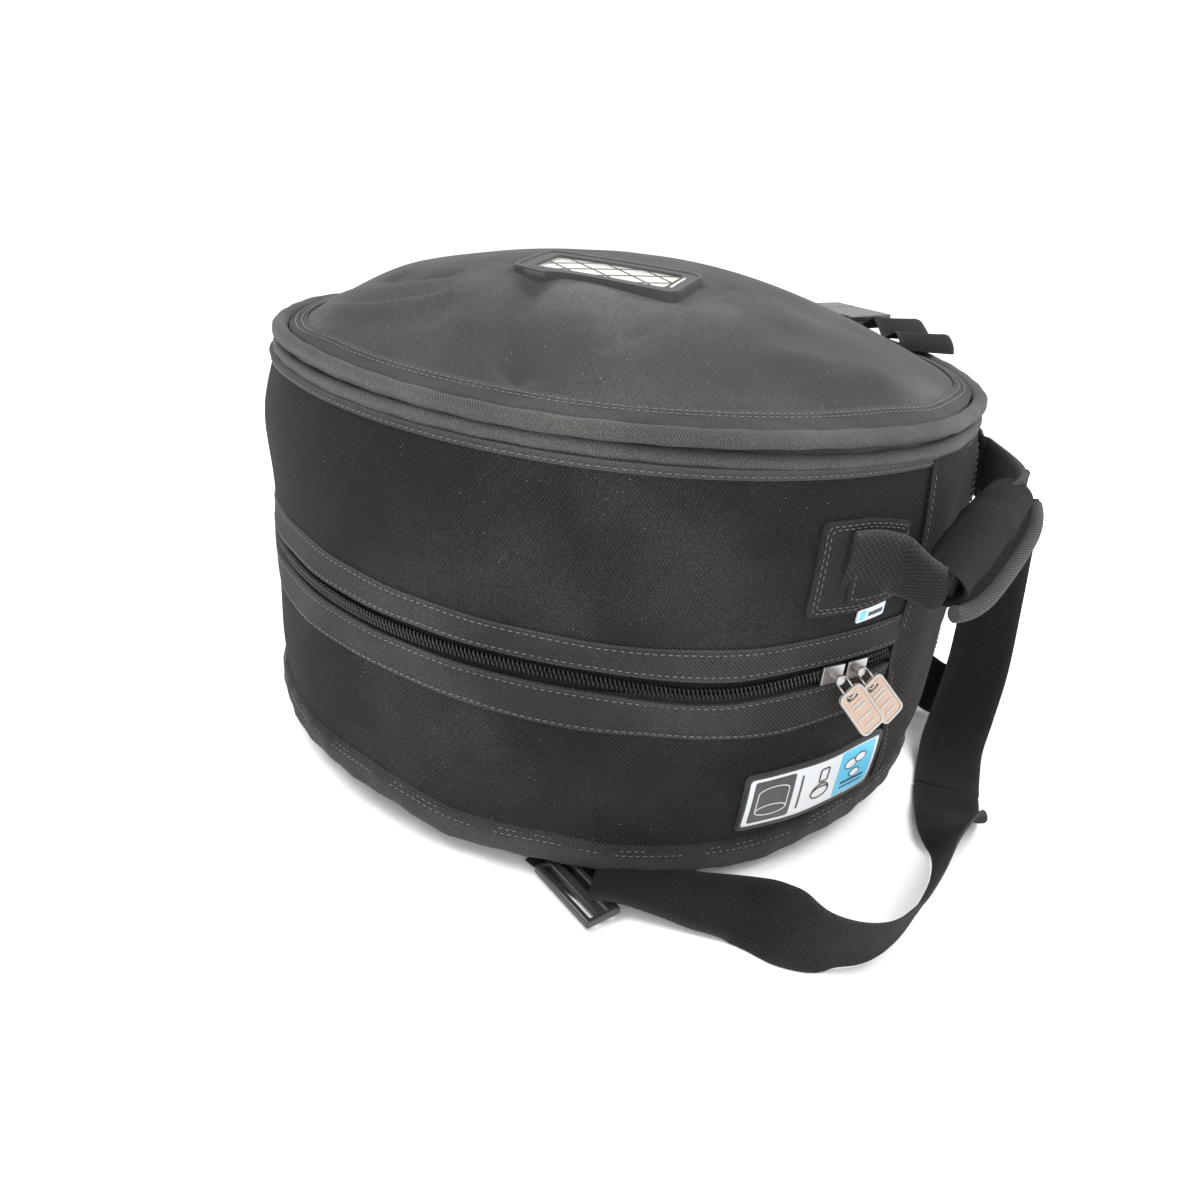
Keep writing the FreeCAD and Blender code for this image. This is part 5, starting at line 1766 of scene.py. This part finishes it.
    def piped_edge(self) -> None:
        """The wrap's piped edge, proud of the sleeve below and outside it, with its flap."""
        t = np.linspace(-1, 1, 60)
        bow = 1 - t ** 2
        offset = (self.grip_radius + 4.6) * math.sqrt(0.5)
        line = np.stack([self.reach + offset + 1.5 * bow - 6.0 * np.abs(t) ** 5, t * 47.0 - 3.0,
                         -offset - 1.0 * bow + 4.0 * np.abs(t) ** 4], -1)
        wear = np.full((60, 14), 0.25)
        fit(tube("handle_piped_edge", self.hung(line), 4.1, 14, False, 1.0, wear),
            Finish.BINDING, "handle", "twill", "handle_grip_piping")
        sunk = np.full(t.shape, (self.grip_radius - 2.0) * 0.7)
        inner = np.stack([self.reach - 3.0 + sunk, t * 36.0 - 6.0, 2.0 - sunk], -1)
        share = np.linspace(0, 1, 6)[None, :, None]
        edge = line * [1.0, 0.86, 1.0]
        web = inner[:, None] * (1 - share) + edge[:, None] * share
        lift = np.array([0.8, 0.0, 0.8])
        fit(sheet_solid("handle_wrap_flap", self.hung(web + lift), self.hung(web - lift),
                        False), Finish.GRIP, "handle", "grip_fabric")

    def build(self) -> None:
        """Build the patches, the webbing and the grip."""
        self.patch("handle_patch_front", "handle_anchor_front", -22.6, 171.0, 1)
        self.patch("handle_patch_rear", "handle_anchor_rear", 22.6, 185.0, -1)
        self.webbing()
        self.grip()


# ---- straps and buckles


@dataclass
class Straps:
    """Webbing straps with their buckles.

    Attributes:
        width: Width of the webbing.
        gauge: Thickness of the webbing.
        floor_gap: The webbing stays this far over the floor.
        buckle_azimuth: Azimuth of the top buckle.
        node_azimuth: Azimuth of that buckle in the frame.
        node_drop: How far it is lowered from its place in the frame.
    """

    width: float = 38.0
    gauge: float = 1.5
    floor_gap: float = 0.1
    buckle_azimuth: float = 75.0
    node_azimuth: float = 70.0
    node_drop: float = 3.8

    def strap(self, name: str, body: str, stations: Sequence, node: str, steps: int = 10,
              belly: float = 0.15) -> None:
        """One run of webbing that stands for one frame node.

        Args:
            name: The piece's name.
            body: The body that it moves with.
            stations: Pairs of a point and a width direction.
            node: The frame node that it replaces.
            steps: Steps between two stations.
            belly: Amplitude of the slight waves along its edges.
        """
        piece = ribbon(name, stations, self.width - 0.6, self.gauge, steps, belly=belly)
        points = np.zeros(len(piece.data.vertices) * 3)
        piece.data.vertices.foreach_get("co", points)
        points[2::3] = np.maximum(points[2::3], self.floor_gap * MM)
        piece.data.vertices.foreach_set("co", points)
        fit(piece, Finish.WEBBING, body, "webbing", node)

    def floor(self) -> None:
        """The long strap that rises behind the handle, drops to the floor and returns."""
        flat = (0.98, 0.15, 0.0)
        tail = (0.109, 0.994, 0.0)
        self.strap("long_strap_riser", "lid", [
            ((161, 135, 29), (0, 0, 1)), ((171, 129, 26), (0, 0, 1)),
            ((184, 124, 22), (0, 0.1, 1)), ((197, 121.5, 20.5), (0.1, 0.1, 1)),
            ((208, 128, 25), (0.6, 0.2, 0.7)), ((213, 139, 40), (0.95, 0.1, 0.25)),
            ((210.5, 147, 60), flat), ((206.5, 156.4, 81), flat), ((201.2, 172, 100), flat),
            ((196.4, 186, 119.5), flat), ((193, 194, 133), flat),
            ((191.5, 195, 139), flat), ((191.5, 191.5, 141), flat)], "floor_strap_riser")
        self.strap("long_strap_drop", "lid", [
            ((192.5, 188.5, 138.6), flat), ((193.8, 188, 133.5), flat),
            ((198.0, 180.5, 121), flat), ((203, 165, 102), flat), ((208, 149, 82.5), flat),
            ((216.5, 118.5, 49), flat), ((220, 95.5, 25), flat), ((222.5, 76.5, 10), flat),
            ((228, 57.5, 2.4), flat), ((233, 40, 1.2), flat)], "floor_strap_drop")
        self.strap("long_strap_loop", "lid", [
            ((232.8, 39, 1.2), flat), ((240, 18, 1.9), (1, 0, 0.03)),
            ((247, -2, 9), (0.9, 0, 0.43)), ((253, -22, 17.4), (0.45, 0, 0.88)),
            ((256, -49, 19.0), (0.2, -0.1, 0.97)), ((257.5, -81, 19.0), (0.2, -0.15, 0.96)),
            ((256, -109, 19.0), (0.2, -0.2, 0.95)), ((249, -130, 18.6), (0.15, -0.25, 0.95)),
            ((233, -143, 18.4), (0.05, -0.1, 0.98)), ((211, -143, 13.5), (-0.25, 0.6, 0.75)),
            ((188, -140, 7), (-0.4, 0.9, 0.26)), ((166, -148, 4.8), (-0.45, 0.88, 0.04)),
            ((150, -155, 7.0), (-0.42, 0.9, 0)), ((138, -160.4, 8.6), (-0.4, 0.9, 0)),
            ((129, -164.6, 8.2), (-0.38, 0.9, 0)), ((121, -168.2, 5.8), (-0.36, 0.9, 0))],
            "floor_strap_loop")
        self.strap("long_strap_tail", "lid", [
            ((127, -165, 1.1), tail), ((114, -163.6, 1.1), tail), ((100, -162, 1.1), tail),
            ((88, -160.7, 1.1), tail)], "floor_strap_tail", belly=0.0)

        def place(s: Array, t: Array, lift: Array) -> Array:
            """Points of the sewn root on the wall."""
            return BAG.on_wall(39.0 + np.degrees(s / BAG.radius), 31 + t, lift + 0.2)

        fit(plate("long_strap_root", rounded_outline(24, 38, 1.5, 80), place, 0.0, 3.2,
                  round_over=0.5), Finish.WEBBING, "lid", "webbing", "floor_strap_root")

    def top(self) -> None:
        """The strap behind the pocket, with its loose, curling tail."""
        radius, rest = 184.2, 237.8
        middle = math.radians(self.buckle_azimuth)
        across = np.array([math.cos(middle), math.sin(middle), 0.0])
        along = np.array([-across[1], across[0], 0.0])
        origin = across * radius + UP * rest

        def beside(distance: float, lift: float = 0.0) -> tuple:
            """A station on the buckle's middle line."""
            return tuple(origin + along * distance + UP * lift), tuple(across)

        def station(azimuth: float, lift: float, reach: float = 0.0, roll: float = 0.0) -> tuple:
            """A station over the upper face."""
            angle = math.radians(azimuth)
            out = np.array([math.cos(angle), math.sin(angle), 0.0])
            return tuple(out * (radius + reach) + UP * (rest + lift)), tuple(out + UP * roll)

        self.strap("top_strap_run", "base", [
            station(130, -15, -7), station(124, -9, -4), station(117, -4.5, -2),
            station(110, -2, -1), station(103, -1), beside(33.1),
            beside(25.1), beside(17.1)], "top_strap_fixed")
        self.strap("top_strap_loose", "base", [
            beside(-30.3), beside(-34.3), beside(-38.3, -1.0), station(60.8, 2, 1),
            station(58.4, 6.5, 2), station(56, 3, 2), station(53.6, -2, 2), station(51.4, 0, 2),
            station(49.2, 3, 2), station(47.2, -1, 3), station(46.2, -6, 3)], "top_strap_tail")

    def buckles(self) -> None:
        """The moulded buckles, with rounded edges and a worn gloss."""
        for node, body, bevel in (("top_buckle_socket", "base", 1.1),
                                  ("top_buckle_plug", "base", 0.9),
                                  ("top_buckle_prong_inner", "prong_inner", 0.7),
                                  ("top_buckle_prong_outer", "prong_outer", 0.7),
                                  ("floor_adjuster", "lid", 1.0)):
            piece = softened_node(node + "_moulding", node, bevel)
            if body != "lid":
                turn = math.radians(self.buckle_azimuth - self.node_azimuth)
                drop = Matrix.Translation((0.0, 0.0, -self.node_drop * MM))
                piece.data.transform(drop @ Matrix.Rotation(turn, 4, "Z"))
            fit(piece, Finish.BUCKLE, body, "buckle_plastic")

    def build(self) -> None:
        """Build every strap and buckle."""
        self.floor()
        self.top()
        self.buckles()


# ---- studio


@dataclass
class Studio:
    """Floor, soft lights and the camera.

    Attributes:
        eye: Where the camera is, in millimetres.
        right: Its right-hand direction.
        above: Its upward direction.
        lens: Its focal length.
        floor_half: Half the floor's width, in metres.
        aim: The point that the lamps face, in metres.
    """

    eye: tuple = (308.8, -475.5, 332.1)
    right: tuple = (0.803255, 0.587374, 0.098865)
    above: tuple = (-0.331827, 0.303443, 0.893204)
    lens: float = 28.29
    floor_half: float = 12.0
    aim: tuple = (0.0, 0.0, 0.12)

    def camera(self) -> None:
        """A camera in front of the bag's label side, looking down at it."""
        across = Vector(self.right).normalized()
        rise = Vector(self.above)
        rise = (rise - across * rise.dot(across)).normalized()
        back = across.cross(rise)
        turn = Matrix((across, rise, back)).transposed()
        data = bpy.data.cameras.new("camera")
        data.lens = self.lens
        data.sensor_width = 36.0
        data.clip_start, data.clip_end = 0.01, 50.0
        camera = bpy.data.objects.new("camera", data)
        camera.matrix_world = Matrix.Translation(Vector(self.eye) * MM) @ turn.to_4x4()
        bpy.context.scene.collection.objects.link(camera)
        bpy.context.scene.camera = camera

    def floor(self) -> None:
        """A wide pale floor."""
        mesh = bpy.data.meshes.new("studio_floor")
        half = self.floor_half
        corners = ((-half, -half), (half, -half), (half, half), (-half, half))
        mesh.from_pydata([(x, y, -0.0005) for x, y in corners], [], [(0, 1, 2, 3)])
        ground = bpy.data.objects.new("studio_floor", mesh)
        bpy.context.scene.collection.objects.link(ground)
        nodes = Nodes("studio_floor")
        nodes.shade({"Base Color": (0.97, 0.97, 0.97, 1.0), "Roughness": 0.9})
        mesh.materials.append(nodes.material)

    def lamp(self, name: str, where: tuple, size: float, power: float) -> None:
        """A square soft lamp aimed at the bag.

        Args:
            name: The lamp's name.
            where: Its place, in metres.
            size: Its width, in metres.
            power: Its power, in watts.
        """
        data = bpy.data.lights.new(name, "AREA")
        data.size = size
        data.energy = power
        lamp = bpy.data.objects.new(name, data)
        place = Vector(where)
        lamp.matrix_world = Matrix.Translation(place) @ (
            Vector(self.aim) - place).to_track_quat("-Z", "Y").to_matrix().to_4x4()
        bpy.context.scene.collection.objects.link(lamp)

    def build(self) -> None:
        """Build the studio."""
        self.camera()
        self.floor()
        self.lamp("key_lamp", (-0.6, -0.6, 1.6), 1.0, 26.0)
        self.lamp("fill_lamp", (1.6, -1.4, 0.9), 1.4, 14.0)
        self.lamp("back_lamp", (0.9, 1.1, 1.5), 1.0, 30.0)
        world = bpy.data.worlds.new("studio")
        world.use_nodes = True
        backdrop = world.node_tree.nodes["Background"]
        backdrop.inputs[0].default_value = (1.0, 1.0, 1.0, 1.0)
        backdrop.inputs[1].default_value = 1.04
        bpy.context.scene.world = world
        bpy.context.scene.view_settings.view_transform = "Standard"


def main() -> None:
    """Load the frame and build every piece."""
    logging.basicConfig(level=logging.INFO, format="%(message)s")
    FRAME.update(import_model())
    Studio().build()
    shells = Shells()
    shells.lid()
    shells.base()
    shells.rims()
    pocket = StrapPocket()
    pocket.cover()
    pocket.strip()
    pocket.card()
    ZipBand().build()
    panel = HingePanel()
    panel.build()
    panel.side_tab()
    SizeLabel().build()
    Handle().build()
    Straps().build()


if __name__ == "__main__":
    main()
